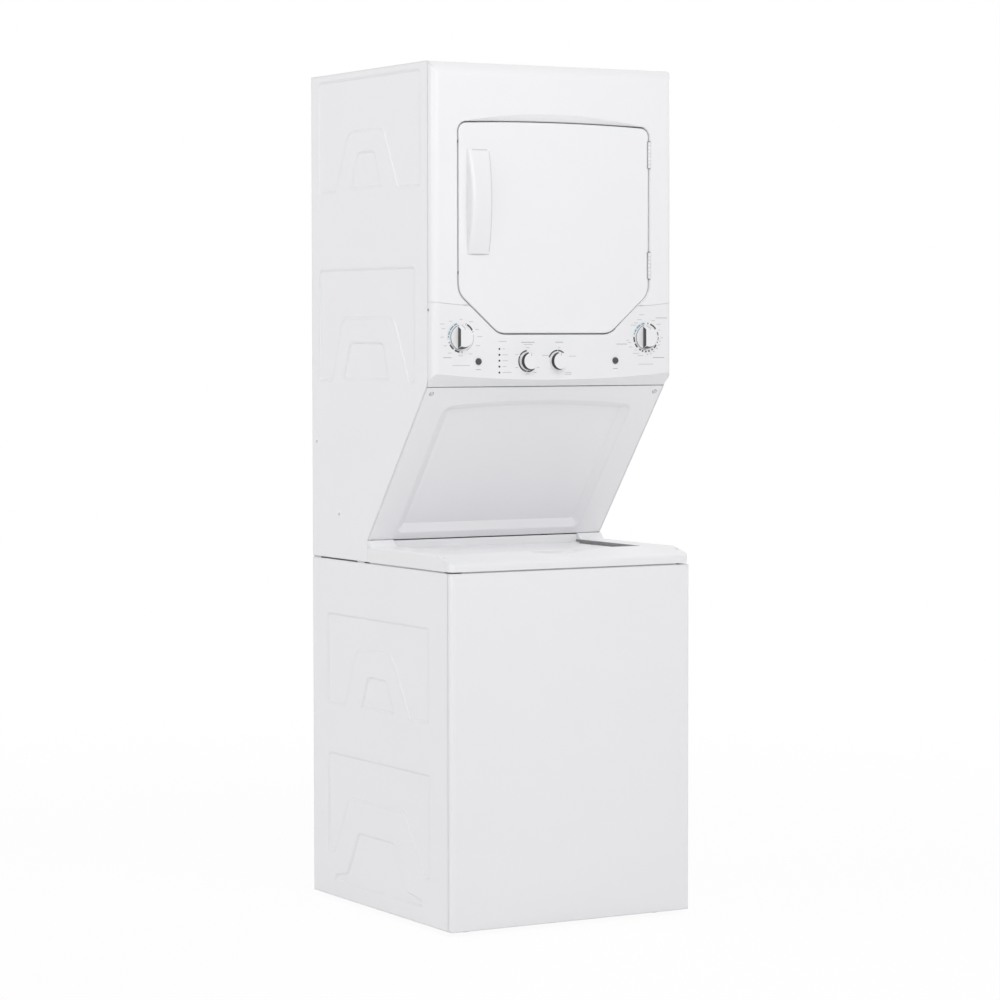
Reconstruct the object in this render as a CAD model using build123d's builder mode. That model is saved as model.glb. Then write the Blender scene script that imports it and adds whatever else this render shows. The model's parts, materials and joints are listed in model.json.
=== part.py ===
from build123d import *
import os
from math import acos, atan2, cos, degrees, hypot, radians, sin

os.makedirs("parts", exist_ok=True)

# Millimetres, +Z up, the front faces -Y, the origin is on the floor under the middle of the machine.

# Cabinet
half_width = 301.5
sheet = 1.2
washer_front = -338.0
dryer_front = -263.0
rear = 313.0
cabinet_bottom = 10.0
washer_top = 776.5
upper_bottom = 779.5
top = 1866.0
edge_radius = 8.0
panel_return = 14.0
panel_seam = 0.8
inner_half = half_width - sheet
rear_inner = rear - sheet
press_depth = 2.6
press_taper = 55
press_corner = 11.0
arch_corner = 30.0
crest_corner = 20.0
flare_corner = 5.5

# Sloped access panel between the washer top and the control panel
slope_top = (-231.0, 1169.5)
slope_bottom = (44.0, 828.0)
slope_length = hypot(slope_bottom[0] - slope_top[0], slope_top[1] - slope_bottom[1])
slope_down = (
    (slope_bottom[0] - slope_top[0]) / slope_length,
    (slope_bottom[1] - slope_top[1]) / slope_length,
)
slope_plane = Plane((0, *slope_top), x_dir=(1, 0, 0), z_dir=(0, slope_down[1], -slope_down[0]))

# Dryer front, door and control panel
seam_middle = 1346.0
seam_end = 1352.0
seam_gap = 0.8
crown_radius = 32.0
dryer_edge = 14.0
dryer_return = 24.0
door_half = 241.0
door_top = 1736.5
door_crown = 5.5
door_bottom = 1284.5
door_cut_side = 1372.0
door_cut_foot = 141.0
door_gap = 1.5
door_face = -264.0
door_back = -250.7
land_face = -245.5
port_inset = 42.0
bulkhead_face = -225.0
lip_end = 1200.0
lip_middle = 1185.0
control_rear = -231.0
control_foot = 1171.2
control_wall = 2.5
brow_crown = 1758.5
brow_depth = 9.0
brow_half = 228.0

# Door hinges, on the right
hinge_x = door_half
hinge_y = -264.0
hinge_heights = (1677.5, 1434.5)
hinge_length = 57.0
knuckle_radius = 3.5
hinge_pin = 2.0

# Controls on the dryer face, as (x, z)
washer_dial = (-233.7, 1277.0)
dryer_dial = (233.7, 1276.5)
temperature_dial = (-68.5, 1226.0)
option_dial = (6.6, 1226.0)
washer_start = (-191.3, 1225.5)
dryer_start = (154.0, 1226.0)
light_x = -139.6
light_heights = [1201.5 + 12.7 * step for step in range(5)]
stem_radius = 3.0

# Washer
tub_y = -45.0
tub_radius = 265.0
tub_bottom = 210.0
tub_rim = 700.0
basket_radius = 236.0
basket_floor = 232.0
basket_rim = 655.0
shaft_radius = 12.0
spin_radius = 22.0
running = 0.05
lid_half = 236.5
lid_front = -237.5
lid_rear = 40.0
lid_edge = 805.0
lid_crown = 812.0
lid_wall = 2.2
lid_pivot = (34.0, 802.5)
rim_height = 814.0
washer_motor_place = (165.0, -20.0)
suspension_reach = 285.0

# Dryer drum and drive
drum_z = 1540.0
drum_radius = 271.0
drum_wall = 2.0
drum_front = -213.0
drum_back = 268.0
rear_bulkhead_face = 283.0
motor_place = (70.0, 1188.0)
belt_y = 118.0
belt_width = 12.0
belt_thick = 3.0
shelf_z = 1090.0
duct_place = (-70.0, 1167.0)
duct_radius = 50.8
duct_end = 338.0


def front_plane(y):
    return Plane.XZ.offset(-y)


def side_plane(x):
    return Plane.YZ.offset(x)


def level(z):
    return Plane.XY.offset(z)


def keep(builder, label):
    builder.part.label = label
    export_step(builder.part, f"parts/{label}.step")


def block(x, y, z, mode=Mode.ADD):
    with Locations((x[0], y[0], z[0])):
        Box(x[1] - x[0], y[1] - y[0], z[1] - z[0], align=(Align.MIN, Align.MIN, Align.MIN), mode=mode)


def both_sides(x, y, z, mode=Mode.ADD):
    block(x, y, z, mode)
    block((-x[1], -x[0]), y, z, mode)


def round_bar(plane, place, radius, length, mode=Mode.ADD):
    with BuildSketch(plane) as section:
        with Locations(place):
            Circle(radius)
    extrude(section.sketch, amount=length, mode=mode)


# A rounded field pressed into a sheet, with an arch left standing in it and a crest pressed inside the arch
def press(field, arch, crest, foot_corner=press_corner):
    y0, y1, z0, z1 = field
    with BuildSketch(side_plane(-half_width)) as shape:
        Polygon((y0, z0), (y1, z0), (y1, z1), (y0, z1))
        Polygon(
            (arch[0], z0 - 1),
            (arch[1], z0 - 1),
            (arch[2], arch[4]),
            (arch[3], arch[4]),
            mode=Mode.SUBTRACT,
        )
        shoulders = shape.vertices().filter_by_position(Axis.Y, arch[4] - 1, arch[4] + 1)
        fillet(shoulders, arch_corner)
        sharp = shape.vertices().filter_by_position(Axis.Y, z0 - 1, z0 + 1)
        fillet(sharp + shape.vertices().group_by(Axis.Y)[-1], press_corner)
        crest_top = max(height for across, height in crest)
        Polygon(*crest)
        crest_points = shape.vertices(Select.LAST)
        fillet(crest_points.filter_by_position(Axis.Y, crest_top - 1, crest_top + 1), crest_corner)
        fillet(crest_points.filter_by_position(Axis.Y, 0, crest_top - 1), foot_corner)
    extrude(shape.sketch, amount=press_depth + sheet)
    extrude(shape.sketch, amount=press_depth, taper=press_taper, mode=Mode.SUBTRACT)


# The line in the middle of the gap round the dryer door, grown by an offset
def door_outline(grow):
    with BuildSketch() as outline:
        with BuildLine() as edge:
            crown = ThreePointArc((-door_half, door_top), (0, door_top + door_crown), (door_half, door_top))
            Polyline(
                crown @ 1,
                (door_half, door_cut_side),
                (door_cut_foot, door_bottom),
                (-door_cut_foot, door_bottom),
                (-door_half, door_cut_side),
                crown @ 0,
            )
        make_face()
        fillet(outline.vertices().group_by(Axis.Y)[-1], 21)
        fillet(outline.vertices().group_by(Axis.Y)[0], 45)
        lower = outline.vertices().filter_by_position(Axis.Y, door_cut_side - 1, door_cut_side + 1)
        fillet(lower, 45)
        offset(amount=grow, kind=Kind.INTERSECTION)
    return outline.sketch


# Loop of belt round two wheels, on a plane, at a clearance from the wheels
def belt_loop(plane, first, first_radius, second, second_radius, width):
    with BuildSketch(plane) as loop:
        with BuildSketch(mode=Mode.PRIVATE) as outer:
            with Locations(first):
                Circle(first_radius + belt_thick)
            with Locations(second):
                Circle(second_radius + belt_thick)
            make_hull()
        with BuildSketch(mode=Mode.PRIVATE) as inner:
            with Locations(first):
                Circle(first_radius)
            with Locations(second):
                Circle(second_radius)
            make_hull()
        add(outer.sketch)
        add(inner.sketch, mode=Mode.SUBTRACT)
    extrude(loop.sketch, amount=width)


# Base frame: a pressed tray with an open middle and a rail inside the front panel
base_bottom = cabinet_bottom + sheet
base_height = 30.0
base_front = washer_front + panel_return + panel_seam + sheet
foot_places = [(240, -270), (-240, -270), (240, 245), (-240, 245)]
with BuildPart() as base_frame:
    block(
        (-inner_half, inner_half),
        (base_front, rear_inner - sheet),
        (base_bottom, base_bottom + base_height),
    )
    offset(amount=-2, openings=base_frame.faces().sort_by(Axis.Z)[-1])
    block((-280, 280), (washer_front + sheet, base_front), (base_bottom, base_bottom + base_height))
    with BuildSketch(level(base_bottom)):
        with Locations((0, -10)):
            RectangleRounded(400, 440, 36)
        with Locations(*foot_places):
            Circle(5)
    extrude(amount=base_height / 2, mode=Mode.SUBTRACT)
keep(base_frame, "base_frame")

# Levelling feet, screwed up into the base frame to the locking nut
with BuildPart() as leveling_feet:
    with BuildSketch():
        with Locations(*foot_places):
            Circle(22)
    extrude(amount=6)
    chamfer(leveling_feet.faces().filter_by(Axis.Z).sort_by(Axis.Z)[-4:].edges(), 2)
    with BuildSketch(level(6)):
        with Locations(*foot_places):
            RegularPolygon(13, 6)
    extrude(amount=base_bottom - 6)
    with BuildSketch(level(base_bottom)):
        with Locations(*foot_places):
            Circle(4.9)
    extrude(amount=26)
keep(leveling_feet, "leveling_feet")

# Washer side panels, with a top flange that carries the cover and the suspension
side_front = washer_front + panel_return + panel_seam
rod_tops = [(275, -300), (-275, -300), (275, 250), (-275, 250)]
with BuildPart() as washer_left_panel:
    block((-half_width, -inner_half), (side_front, rear), (cabinet_bottom, washer_top))
    block((-inner_half, -258), (side_front, rear_inner), (washer_top - sheet, washer_top))
    block((-inner_half, -282), (side_front, side_front + sheet), (cabinet_bottom, washer_top - sheet))
    block((-inner_half, -282), (rear_inner - sheet, rear_inner), (cabinet_bottom, washer_top - sheet))
    press((-238, 243, 447, 655), (-151, 158, 96, -66, 580), [(-80, 452), (78, 452), (46, 525), (-42, 525)])
    crest_right = [(-209, 46), (209, 46), (204, 62), (150, 72), (124, 112), (94, 170)]
    crest_left = [(-80, 170), (-107, 121), (-137, 72), (-204, 62)]
    press((-242, 240, 108, 338), (-216, 209, 138, -120, 240), crest_right + crest_left, flare_corner)
    with BuildSketch(level(washer_top)):
        with Locations(*[place for place in rod_tops if place[0] < 0]):
            Circle(5)
    extrude(amount=-2 * sheet, mode=Mode.SUBTRACT)
keep(washer_left_panel, "washer_left_panel")

with BuildPart() as washer_right_panel:
    mirror(washer_left_panel.part, about=Plane.YZ)
keep(washer_right_panel, "washer_right_panel")

# Washer front panel, wrapped round its corners
with BuildPart() as washer_front_panel:
    block(
        (-half_width, half_width),
        (washer_front, washer_front + panel_return),
        (cabinet_bottom, washer_top),
    )
    fillet(washer_front_panel.edges().filter_by(Axis.Z).group_by(Axis.Y)[0], edge_radius)
    offset(amount=-sheet, openings=washer_front_panel.faces().sort_by(Axis.Y)[-1])
keep(washer_front_panel, "washer_front_panel")

# Washer rear panel, with the holes for the valve and the drain
valve_places = [(-205, 735), (-145, 735)]
drain_place = (190, 700)
with BuildPart() as washer_rear_panel:
    block((-inner_half, inner_half), (rear_inner, rear), (base_bottom, washer_top))
    with BuildSketch(front_plane(rear)) as rear_fields:
        with Locations((0, 520), (0, 210)):
            RectangleRounded(440, 250, 30)
    extrude(amount=press_depth + sheet)
    extrude(rear_fields.sketch, amount=press_depth, taper=press_taper, mode=Mode.SUBTRACT)
    with BuildSketch(front_plane(rear)):
        with Locations(*valve_places):
            Circle(14.5)
        with Locations(drain_place):
            Circle(19)
    extrude(amount=2 * sheet, mode=Mode.SUBTRACT)
keep(washer_rear_panel, "washer_rear_panel")

# Water inlet valve: two threaded stubs through the rear panel, and the valve body behind it
with BuildPart() as water_inlet_valve:
    with BuildSketch(front_plane(rear_inner)):
        with Locations((-175, 735)):
            RectangleRounded(120, 46, 10)
    extrude(amount=4)
    with BuildSketch(front_plane(rear_inner - 4)):
        with Locations(*valve_places):
            Circle(15)
        with Locations((-175, 735)):
            Rectangle(60, 18)
    extrude(amount=34)
    with BuildSketch(front_plane(rear_inner)):
        with Locations(*valve_places):
            Circle(13.2)
    extrude(amount=-24)
    with BuildSketch(front_plane(rear_inner + 24)):
        with Locations(*valve_places):
            Circle(9.5)
    extrude(amount=18, mode=Mode.SUBTRACT)
keep(water_inlet_valve, "water_inlet_valve")

# Washer top cover: a moulded rim with a sunken lid seat, a loading mouth and a splash skirt under it
cover_front = -337.0
cover_rear = 43.5
cover_wall = 3.0
seat_z = 796.0
pocket_half = 239.0
pocket_front = -240.0
cover_ridge = -272.0


# The cover's outside, rounded at its front corners and along its rim, and the same form inset by the wall
def cover_form(inset):
    with BuildPart() as form:
        with BuildSketch(side_plane(0)) as profile:
            Polygon(
                (cover_front + inset, upper_bottom - inset),
                (cover_rear + inset, upper_bottom - inset),
                (cover_rear + inset, rim_height - inset),
                (cover_ridge, rim_height - inset),
                (cover_front + 1.5 + inset, 797 - inset),
            )
            fillet(profile.vertices().group_by(Axis.X)[1], 11 - inset)
            fillet(profile.vertices().filter_by_position(Axis.X, cover_ridge - 1, cover_ridge + 1), 40)
        extrude(amount=half_width - inset, both=True)
        with BuildSketch(level(upper_bottom - inset)) as plan:
            with Locations((0, cover_front + inset)):
                Rectangle(2 * (half_width - inset), 500, align=(Align.CENTER, Align.MIN))
            fillet(plan.vertices().group_by(Axis.Y)[0], 16 - inset)
        extrude(amount=100, mode=Mode.INTERSECT)
        with BuildSketch(front_plane(cover_rear + inset)) as end:
            with Locations((0, upper_bottom - inset)):
                Rectangle(
                    2 * (half_width - inset),
                    rim_height - upper_bottom,
                    align=(Align.CENTER, Align.MIN),
                )
            fillet(end.vertices().group_by(Axis.Y)[-1], 5 - inset)
        extrude(amount=500, mode=Mode.INTERSECT)
    return form.part


# The loading mouth under the lid, grown by an offset
def mouth_outline(grow):
    with BuildSketch() as mouth:
        with Locations((0, -105)):
            Rectangle(370 + 2 * grow, 220 + 2 * grow)
        fillet(mouth.vertices().group_by(Axis.Y)[0], 105 + grow)
        fillet(mouth.vertices().group_by(Axis.Y)[-1], 30 + grow)
    return mouth.sketch


cover_outer = cover_form(0)
cover_inner = cover_form(cover_wall)
with BuildPart() as washer_top_cover:
    add(cover_outer)
    add(cover_inner, mode=Mode.SUBTRACT)
    # Hinge blocks on the rim beside the lid
    with BuildSketch(side_plane(pocket_half)) as hinge_block:
        Polygon((24, rim_height - 1), (cover_rear, rim_height - 1), (cover_rear, 827.5), (39, 827.5))
        fillet(hinge_block.vertices().group_by(Axis.Y)[-1].sort_by(Axis.X)[0], 4)
    extrude(amount=half_width - pocket_half)
    with BuildSketch(side_plane(-half_width)) as left_block:
        Polygon((24, rim_height - 1), (cover_rear, rim_height - 1), (cover_rear, 827.5), (39, 827.5))
        fillet(left_block.vertices().group_by(Axis.Y)[-1].sort_by(Axis.X)[0], 4)
    extrude(amount=half_width - pocket_half)
    # Lid pocket and seat
    block(
        (-pocket_half - cover_wall, pocket_half + cover_wall),
        (pocket_front - cover_wall, cover_rear),
        (seat_z - cover_wall, rim_height - 1.5),
    )
    block(
        (-pocket_half, pocket_half),
        (pocket_front, cover_rear + 1),
        (seat_z, rim_height + 20),
        Mode.SUBTRACT,
    )
    # Finger scoop in the front rim
    with BuildSketch(front_plane(pocket_front + 1)):
        with BuildLine():
            scoop = ThreePointArc((-82, rim_height + 1), (0, rim_height - 7), (82, rim_height + 1))
            Line(scoop @ 1, scoop @ 0)
        make_face()
    extrude(amount=60, mode=Mode.SUBTRACT)
    # Rear wall up to the sloped panel, and the deck that closes the washer under the dryer
    block((-255, 255), (cover_rear, cover_rear + cover_wall), (seat_z - cover_wall, slope_bottom[1] - 2.5))
    block((-255, 255), (cover_rear, rear_inner), (seat_z - cover_wall, seat_z))
    # Loading mouth with a splash skirt
    with BuildSketch(level(seat_z)):
        add(mouth_outline(cover_wall))
    extrude(amount=-48)
    with BuildSketch(level(seat_z)):
        add(mouth_outline(0))
    extrude(amount=-60, mode=Mode.SUBTRACT)
    # Slot that lets the lid's rear edge swing down
    block((-pocket_half, pocket_half), (22, cover_rear), (seat_z - 10, seat_z + 1), Mode.SUBTRACT)
    # Locating ribs that stand on the cabinet flanges
    both_sides((293, 296), (-300, cover_rear), (washer_top, rim_height - 4))
    block((-270, 270), (-331, -328), (washer_top, 795))
    # Bearing bosses for the lid's pivots
    with BuildSketch(side_plane(pocket_half)):
        with Locations(lid_pivot):
            Circle(9)
    extrude(amount=24)
    with BuildSketch(side_plane(-pocket_half)):
        with Locations(lid_pivot):
            Circle(9)
    extrude(amount=-24)
    with BuildSketch(side_plane(-pocket_half - 22)):
        with Locations(lid_pivot):
            Circle(4 + running)
    extrude(amount=2 * pocket_half + 44, mode=Mode.SUBTRACT)
keep(washer_top_cover, "washer_top_cover")


# The lid's crowned form, which falls to its rear edge, and the same form inset by its wall
def lid_form(inset):
    with BuildPart() as form:
        with BuildSketch(front_plane(lid_front + inset)):
            with BuildLine():
                crown = ThreePointArc(
                    (-lid_half + inset, lid_edge - inset),
                    (0, lid_crown - inset),
                    (lid_half - inset, lid_edge - inset),
                )
                Polyline(
                    crown @ 1,
                    (lid_half - inset, seat_z + 0.8),
                    (-lid_half + inset, seat_z + 0.8),
                    crown @ 0,
                )
            make_face()
        extrude(amount=lid_rear - lid_front - 2 * inset, dir=(0, 1, 0))
        fillet(form.edges().filter_by(Axis.Z).group_by(Axis.Y)[0], 18 - inset)
        with BuildSketch(side_plane(-lid_half)):
            Polygon(
                (0, lid_crown - inset),
                (lid_rear + 5, lid_edge - 1 - inset),
                (lid_rear + 5, lid_crown + 20),
                (0, lid_crown + 20),
            )
        extrude(amount=2 * lid_half, mode=Mode.SUBTRACT)
        if inset == 0:
            fillet(form.faces().sort_by(Axis.Z)[-1].edges().group_by(Axis.Y)[0], 2)
    return form.part


# Washer lid, hollow from below, with its pivots
lid_outer = lid_form(0)
lid_inner = lid_form(lid_wall)
with BuildPart() as washer_lid:
    add(lid_outer)
    add(lid_inner, mode=Mode.SUBTRACT)
    with BuildSketch(side_plane(-lid_half + 1)):
        with Locations(lid_pivot):
            Circle(5.6)
    extrude(amount=20)
    with BuildSketch(side_plane(lid_half - 1)):
        with Locations(lid_pivot):
            Circle(5.6)
    extrude(amount=-20)
    with BuildSketch(side_plane(-lid_half + 4)):
        with Locations(lid_pivot):
            Circle(4)
    extrude(amount=-22)
    with BuildSketch(side_plane(lid_half - 4)):
        with Locations(lid_pivot):
            Circle(4)
    extrude(amount=22)
keep(washer_lid, "washer_lid")

# Outer tub with four suspension lugs
tub_axis = Axis((0, tub_y, 0), (0, 0, 1))
tub_section = Plane((0, tub_y, 0), x_dir=(1, 0, 0), z_dir=(0, -1, 0))
lug_z = 244.0
with BuildPart() as outer_tub:
    with BuildSketch(tub_section):
        with BuildLine():
            Polyline(
                (spin_radius + 0.06, tub_bottom),
                (tub_radius - 25, tub_bottom),
                (tub_radius, tub_bottom + 25),
                (tub_radius, tub_rim),
                (tub_radius - 4, tub_rim),
                (tub_radius - 4, tub_bottom + 27),
                (tub_radius - 27, tub_bottom + 5),
                (spin_radius + 0.06, tub_bottom + 5),
                close=True,
            )
        make_face()
    revolve(axis=tub_axis)
    with BuildSketch(Plane((0, tub_y, lug_z))):
        with PolarLocations(suspension_reach - 10, 4, start_angle=45):
            Rectangle(48, 40)
        Circle(tub_radius - 2, mode=Mode.SUBTRACT)
        with PolarLocations(suspension_reach, 4, start_angle=45):
            Circle(9, mode=Mode.SUBTRACT)
    extrude(amount=8)
keep(outer_tub, "outer_tub")

# Tub cover, a ring on the tub's rim
with BuildPart() as tub_cover:
    with BuildSketch(tub_section):
        with BuildLine():
            Polyline(
                (tub_radius + 0.4, tub_rim - 14),
                (tub_radius + 3.4, tub_rim - 14),
                (tub_radius + 3.4, tub_rim + 3),
                (216, tub_rim + 10),
                (206, tub_rim + 6),
                (206, tub_rim + 3),
                (216, tub_rim + 7),
                (tub_radius - 6, tub_rim),
                (tub_radius + 0.4, tub_rim),
                close=True,
            )
        make_face()
    revolve(axis=tub_axis)
keep(tub_cover, "tub_cover")

# Wash basket, a deep drawn pan
with BuildPart() as wash_basket:
    with BuildSketch(tub_section):
        with BuildLine():
            Polyline(
                (30, basket_floor),
                (basket_radius - 14, basket_floor),
                (basket_radius, basket_floor + 14),
                (basket_radius, basket_rim),
                (basket_radius - 2, basket_rim),
                (basket_radius - 2, basket_floor + 15),
                (basket_radius - 15, basket_floor + 2),
                (30, basket_floor + 2),
                close=True,
            )
        make_face()
    revolve(axis=tub_axis)
keep(wash_basket, "wash_basket")

# Balance ring on the basket's rim
with BuildPart() as balance_ring:
    with BuildSketch(tub_section) as ring_section:
        with BuildLine():
            Polyline(
                (208, basket_rim),
                (239, basket_rim),
                (239, basket_rim + 32),
                (214, basket_rim + 36),
                close=True,
            )
        make_face()
        chamfer(ring_section.vertices().group_by(Axis.Y)[-1], 4)
    revolve(axis=tub_axis)
keep(balance_ring, "balance_ring")

# Spin tube, whose flange carries the basket
gear_bottom = 150.0
with BuildPart() as spin_tube:
    with BuildSketch(tub_section):
        with BuildLine():
            Polyline(
                (shaft_radius + running, gear_bottom + 4),
                (spin_radius, gear_bottom + 4),
                (spin_radius, basket_floor - 7),
                (80, basket_floor - 7),
                (80, basket_floor),
                (shaft_radius + running, basket_floor),
                close=True,
            )
        make_face()
    revolve(axis=tub_axis)
keep(spin_tube, "spin_tube")

# Gear case bolted under the tub
with BuildPart() as gear_case:
    with BuildSketch(tub_section):
        with BuildLine():
            Polyline(
                (spin_radius + 0.4, gear_bottom),
                (48, gear_bottom),
                (66, gear_bottom + 20),
                (66, tub_bottom - 6),
                (90, tub_bottom - 6),
                (90, tub_bottom),
                (spin_radius + 0.4, tub_bottom),
                close=True,
            )
        make_face()
    revolve(axis=tub_axis)
keep(gear_case, "gear_case")

# Agitator: a column that flares to a skirt, with four vanes that sweep down to the skirt's edge
agitator_foot = basket_floor + 5
agitator_top = 590.0
shaft_top = 560.0
with BuildPart() as agitator:
    with BuildSketch(tub_section):
        with BuildLine():
            column = Line((0, agitator_top), (30, agitator_top))
            shoulder = ThreePointArc(column @ 1, (41, agitator_top - 5), (45, agitator_top - 16))
            side = Line(shoulder @ 1, (56, 380))
            flare = ThreePointArc(side @ 1, (84, 292), (160, agitator_foot + 14))
            Polyline(
                flare @ 1,
                (178, agitator_foot + 8),
                (178, agitator_foot),
                (0, agitator_foot),
                column @ 0,
            )
        make_face()
    revolve(axis=tub_axis)
    for quarter in range(4):
        turn = radians(45 + 90 * quarter)
        vane_plane = Plane((0, tub_y, 0), x_dir=(cos(turn), sin(turn), 0), z_dir=(sin(turn), -cos(turn), 0))
        with BuildSketch(vane_plane):
            with BuildLine():
                blade = ThreePointArc((46, 520), (88, 340), (176, agitator_foot + 34))
                Polyline(blade @ 1, (176, agitator_foot + 4), (30, agitator_foot + 4), (30, 520), blade @ 0)
            make_face()
        extrude(amount=4, both=True)
    with BuildSketch(tub_section):
        with BuildLine():
            Polyline(
                (0, agitator_foot),
                (0, 545),
                (38, 545),
                (50, 382),
                (80, 284),
                (150, agitator_foot + 9),
                (170, agitator_foot + 3),
                (170, agitator_foot),
                close=True,
            )
        make_face()
    revolve(axis=tub_axis, mode=Mode.SUBTRACT)
    with BuildSketch(Plane((0, tub_y, agitator_foot))):
        Circle(shaft_radius + running)
    extrude(amount=shaft_top - agitator_foot, mode=Mode.SUBTRACT)
keep(agitator, "agitator")

# Drive shaft through the spin tube
pulley_z = 126.0
pulley_width = 16.0
with BuildPart() as drive_shaft:
    round_bar(Plane((0, tub_y, pulley_z - 4)), (0, 0), shaft_radius, shaft_top - pulley_z + 4)
keep(drive_shaft, "drive_shaft")

# Pulleys and belt under the tub
washer_pulley_radius = 75.0
motor_pulley_radius = 22.0
motor_shaft_radius = 6.0
with BuildPart() as washer_pulley:
    with BuildSketch(Plane((0, tub_y, pulley_z))):
        Circle(washer_pulley_radius + 5)
        Circle(shaft_radius + running, mode=Mode.SUBTRACT)
    extrude(amount=pulley_width)
    with BuildSketch(tub_section):
        with Locations((washer_pulley_radius + 5, pulley_z + pulley_width / 2)):
            Rectangle(10, pulley_width - 4)
    revolve(axis=tub_axis, mode=Mode.SUBTRACT)
    with BuildSketch(Plane((0, tub_y, pulley_z))):
        with PolarLocations(44, 5):
            Circle(17)
    extrude(amount=pulley_width, mode=Mode.SUBTRACT)
keep(washer_pulley, "washer_pulley")

# Washer motor under the tub, beside the gear case
motor_bottom = 146.0
with BuildPart() as washer_motor:
    with BuildSketch(level(motor_bottom)):
        with Locations(washer_motor_place):
            Circle(60)
    extrude(amount=tub_bottom - motor_bottom - 4)
    chamfer(washer_motor.edges().filter_by(GeomType.CIRCLE), 4)
    with BuildSketch(level(tub_bottom - 4)):
        with Locations(washer_motor_place):
            RectangleRounded(110, 110, 12)
    extrude(amount=4)
    round_bar(level(motor_bottom), washer_motor_place, motor_shaft_radius + running, 50, Mode.SUBTRACT)
keep(washer_motor, "washer_motor")

with BuildPart() as washer_motor_pulley:
    round_bar(level(pulley_z), washer_motor_place, motor_pulley_radius + 4, 2)
    round_bar(level(pulley_z + 2), washer_motor_place, motor_pulley_radius, pulley_width - 4)
    round_bar(level(pulley_z + pulley_width - 2), washer_motor_place, motor_pulley_radius + 4, 2)
    round_bar(level(pulley_z + pulley_width), washer_motor_place, motor_shaft_radius, 48)
keep(washer_motor_pulley, "washer_motor_pulley")

with BuildPart() as washer_belt:
    belt_loop(
        level(pulley_z + 3),
        (0, tub_y),
        washer_pulley_radius + 0.4,
        washer_motor_place,
        motor_pulley_radius + 0.4,
        pulley_width - 6,
    )
keep(washer_belt, "washer_belt")

# Drain pump under the tub
pump_place = (-150.0, 20.0)
with BuildPart() as drain_pump:
    round_bar(level(160), pump_place, 46, tub_bottom - 160)
    round_bar(level(128), pump_place, 30, 32)
    with BuildSketch(Plane((pump_place[0], pump_place[1] + 40, 185), x_dir=(1, 0, 0), z_dir=(0, 1, 0))):
        Circle(15)
    extrude(amount=40)
    with BuildSketch(Plane((pump_place[0], pump_place[1] + 80, 185), x_dir=(1, 0, 0), z_dir=(0, 1, 0))):
        Circle(11)
    extrude(amount=-30, mode=Mode.SUBTRACT)
keep(drain_pump, "drain_pump")

# Suspension rods hang from the cabinet flanges and carry the tub's lugs on springs
lug_offset = suspension_reach * cos(radians(45))
spring_length = 62.0


# Where a rod passes through its lug on the tub
def lug_point(x, y):
    lug_x = lug_offset if x > 0 else -lug_offset
    lug_y = lug_offset if y > 0 else -lug_offset
    return Vector(lug_x, tub_y + lug_y, lug_z)


with BuildPart() as suspension_rods:
    for x, y in rod_tops:
        lug = lug_point(x, y)
        head = Vector(x, y, washer_top)
        along = (lug - head).normalized()
        length = (lug - head).length + spring_length + 6
        round_bar(level(washer_top), (x, y), 9, 6)
        round_bar(Plane(head, z_dir=along), (0, 0), 3.5, length)
        round_bar(Plane(head + along * (length - 4), z_dir=along), (0, 0), 15, 4)
keep(suspension_rods, "suspension_rods")

with BuildPart() as suspension_springs:
    for x, y in rod_tops:
        lug = lug_point(x, y)
        head = Vector(x, y, washer_top)
        along = (lug - head).normalized()
        foot = lug + along * (spring_length + 6 - 4)
        with BuildLine(mode=Mode.PRIVATE) as coil:
            Helix(pitch=11, height=46, radius=10, center=foot - along * 4, direction=along * -1)
        with BuildSketch(Plane(coil.line @ 0, z_dir=coil.line % 0)) as wire:
            RegularPolygon(1.9, 6)
        sweep(wire.sketch, path=coil.line)
keep(suspension_springs, "suspension_springs")

# Dryer frame: a shelf on four legs that stand on the washer's flanges
with BuildPart() as dryer_frame:
    block((-inner_half, inner_half), (-130, rear_inner), (shelf_z, shelf_z + 1.5))
    both_sides((262, inner_half), (60, 95), (washer_top, shelf_z))
    both_sides((262, inner_half), (276, rear_inner - sheet), (washer_top, shelf_z))
    both_sides((262, inner_half - 2), (62, 95), (washer_top + 2, shelf_z - 20), Mode.SUBTRACT)
    both_sides(
        (262, inner_half - 2),
        (276, rear_inner - sheet - 2),
        (washer_top + 2, shelf_z - 20),
        Mode.SUBTRACT,
    )
keep(dryer_frame, "dryer_frame")

# Dryer side panels, cut to the slope, with a flange behind the access panel
upper_front = dryer_front + dryer_return + panel_seam
with BuildPart() as dryer_left_panel:
    with BuildSketch(side_plane(-half_width)):
        Polygon(
            (cover_rear, upper_bottom),
            (rear, upper_bottom),
            (rear, top),
            (dryer_front + crown_radius, top),
            (upper_front, top - 1.6),
            (upper_front, lip_end - 13),
            slope_top,
            slope_bottom,
            (cover_rear, slope_bottom[1]),
        )
    extrude(amount=sheet)
    with BuildSketch(slope_plane.offset(-sheet)):
        with Locations((-inner_half, -4)):
            Rectangle(18, slope_length - 8, align=(Align.MIN, Align.MAX))
    extrude(amount=-sheet)
    block((-inner_half, -282), (-200, rear_inner), (top - 2 * sheet, top - sheet))
    press(
        (-206, 279, 1600, 1852),
        (-102, 193, 131, -32, 1731),
        [(-29, 1605), (120, 1605), (87, 1688), (6, 1688)],
    )
    press(
        (-179, 277, 1178, 1430),
        (-150, 211, 163, -80, 1318),
        [(-60, 1183), (163, 1183), (125, 1267), (-33, 1267)],
    )
keep(dryer_left_panel, "dryer_left_panel")

with BuildPart() as dryer_right_panel:
    mirror(dryer_left_panel.part, about=Plane.YZ)
keep(dryer_right_panel, "dryer_right_panel")

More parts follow.
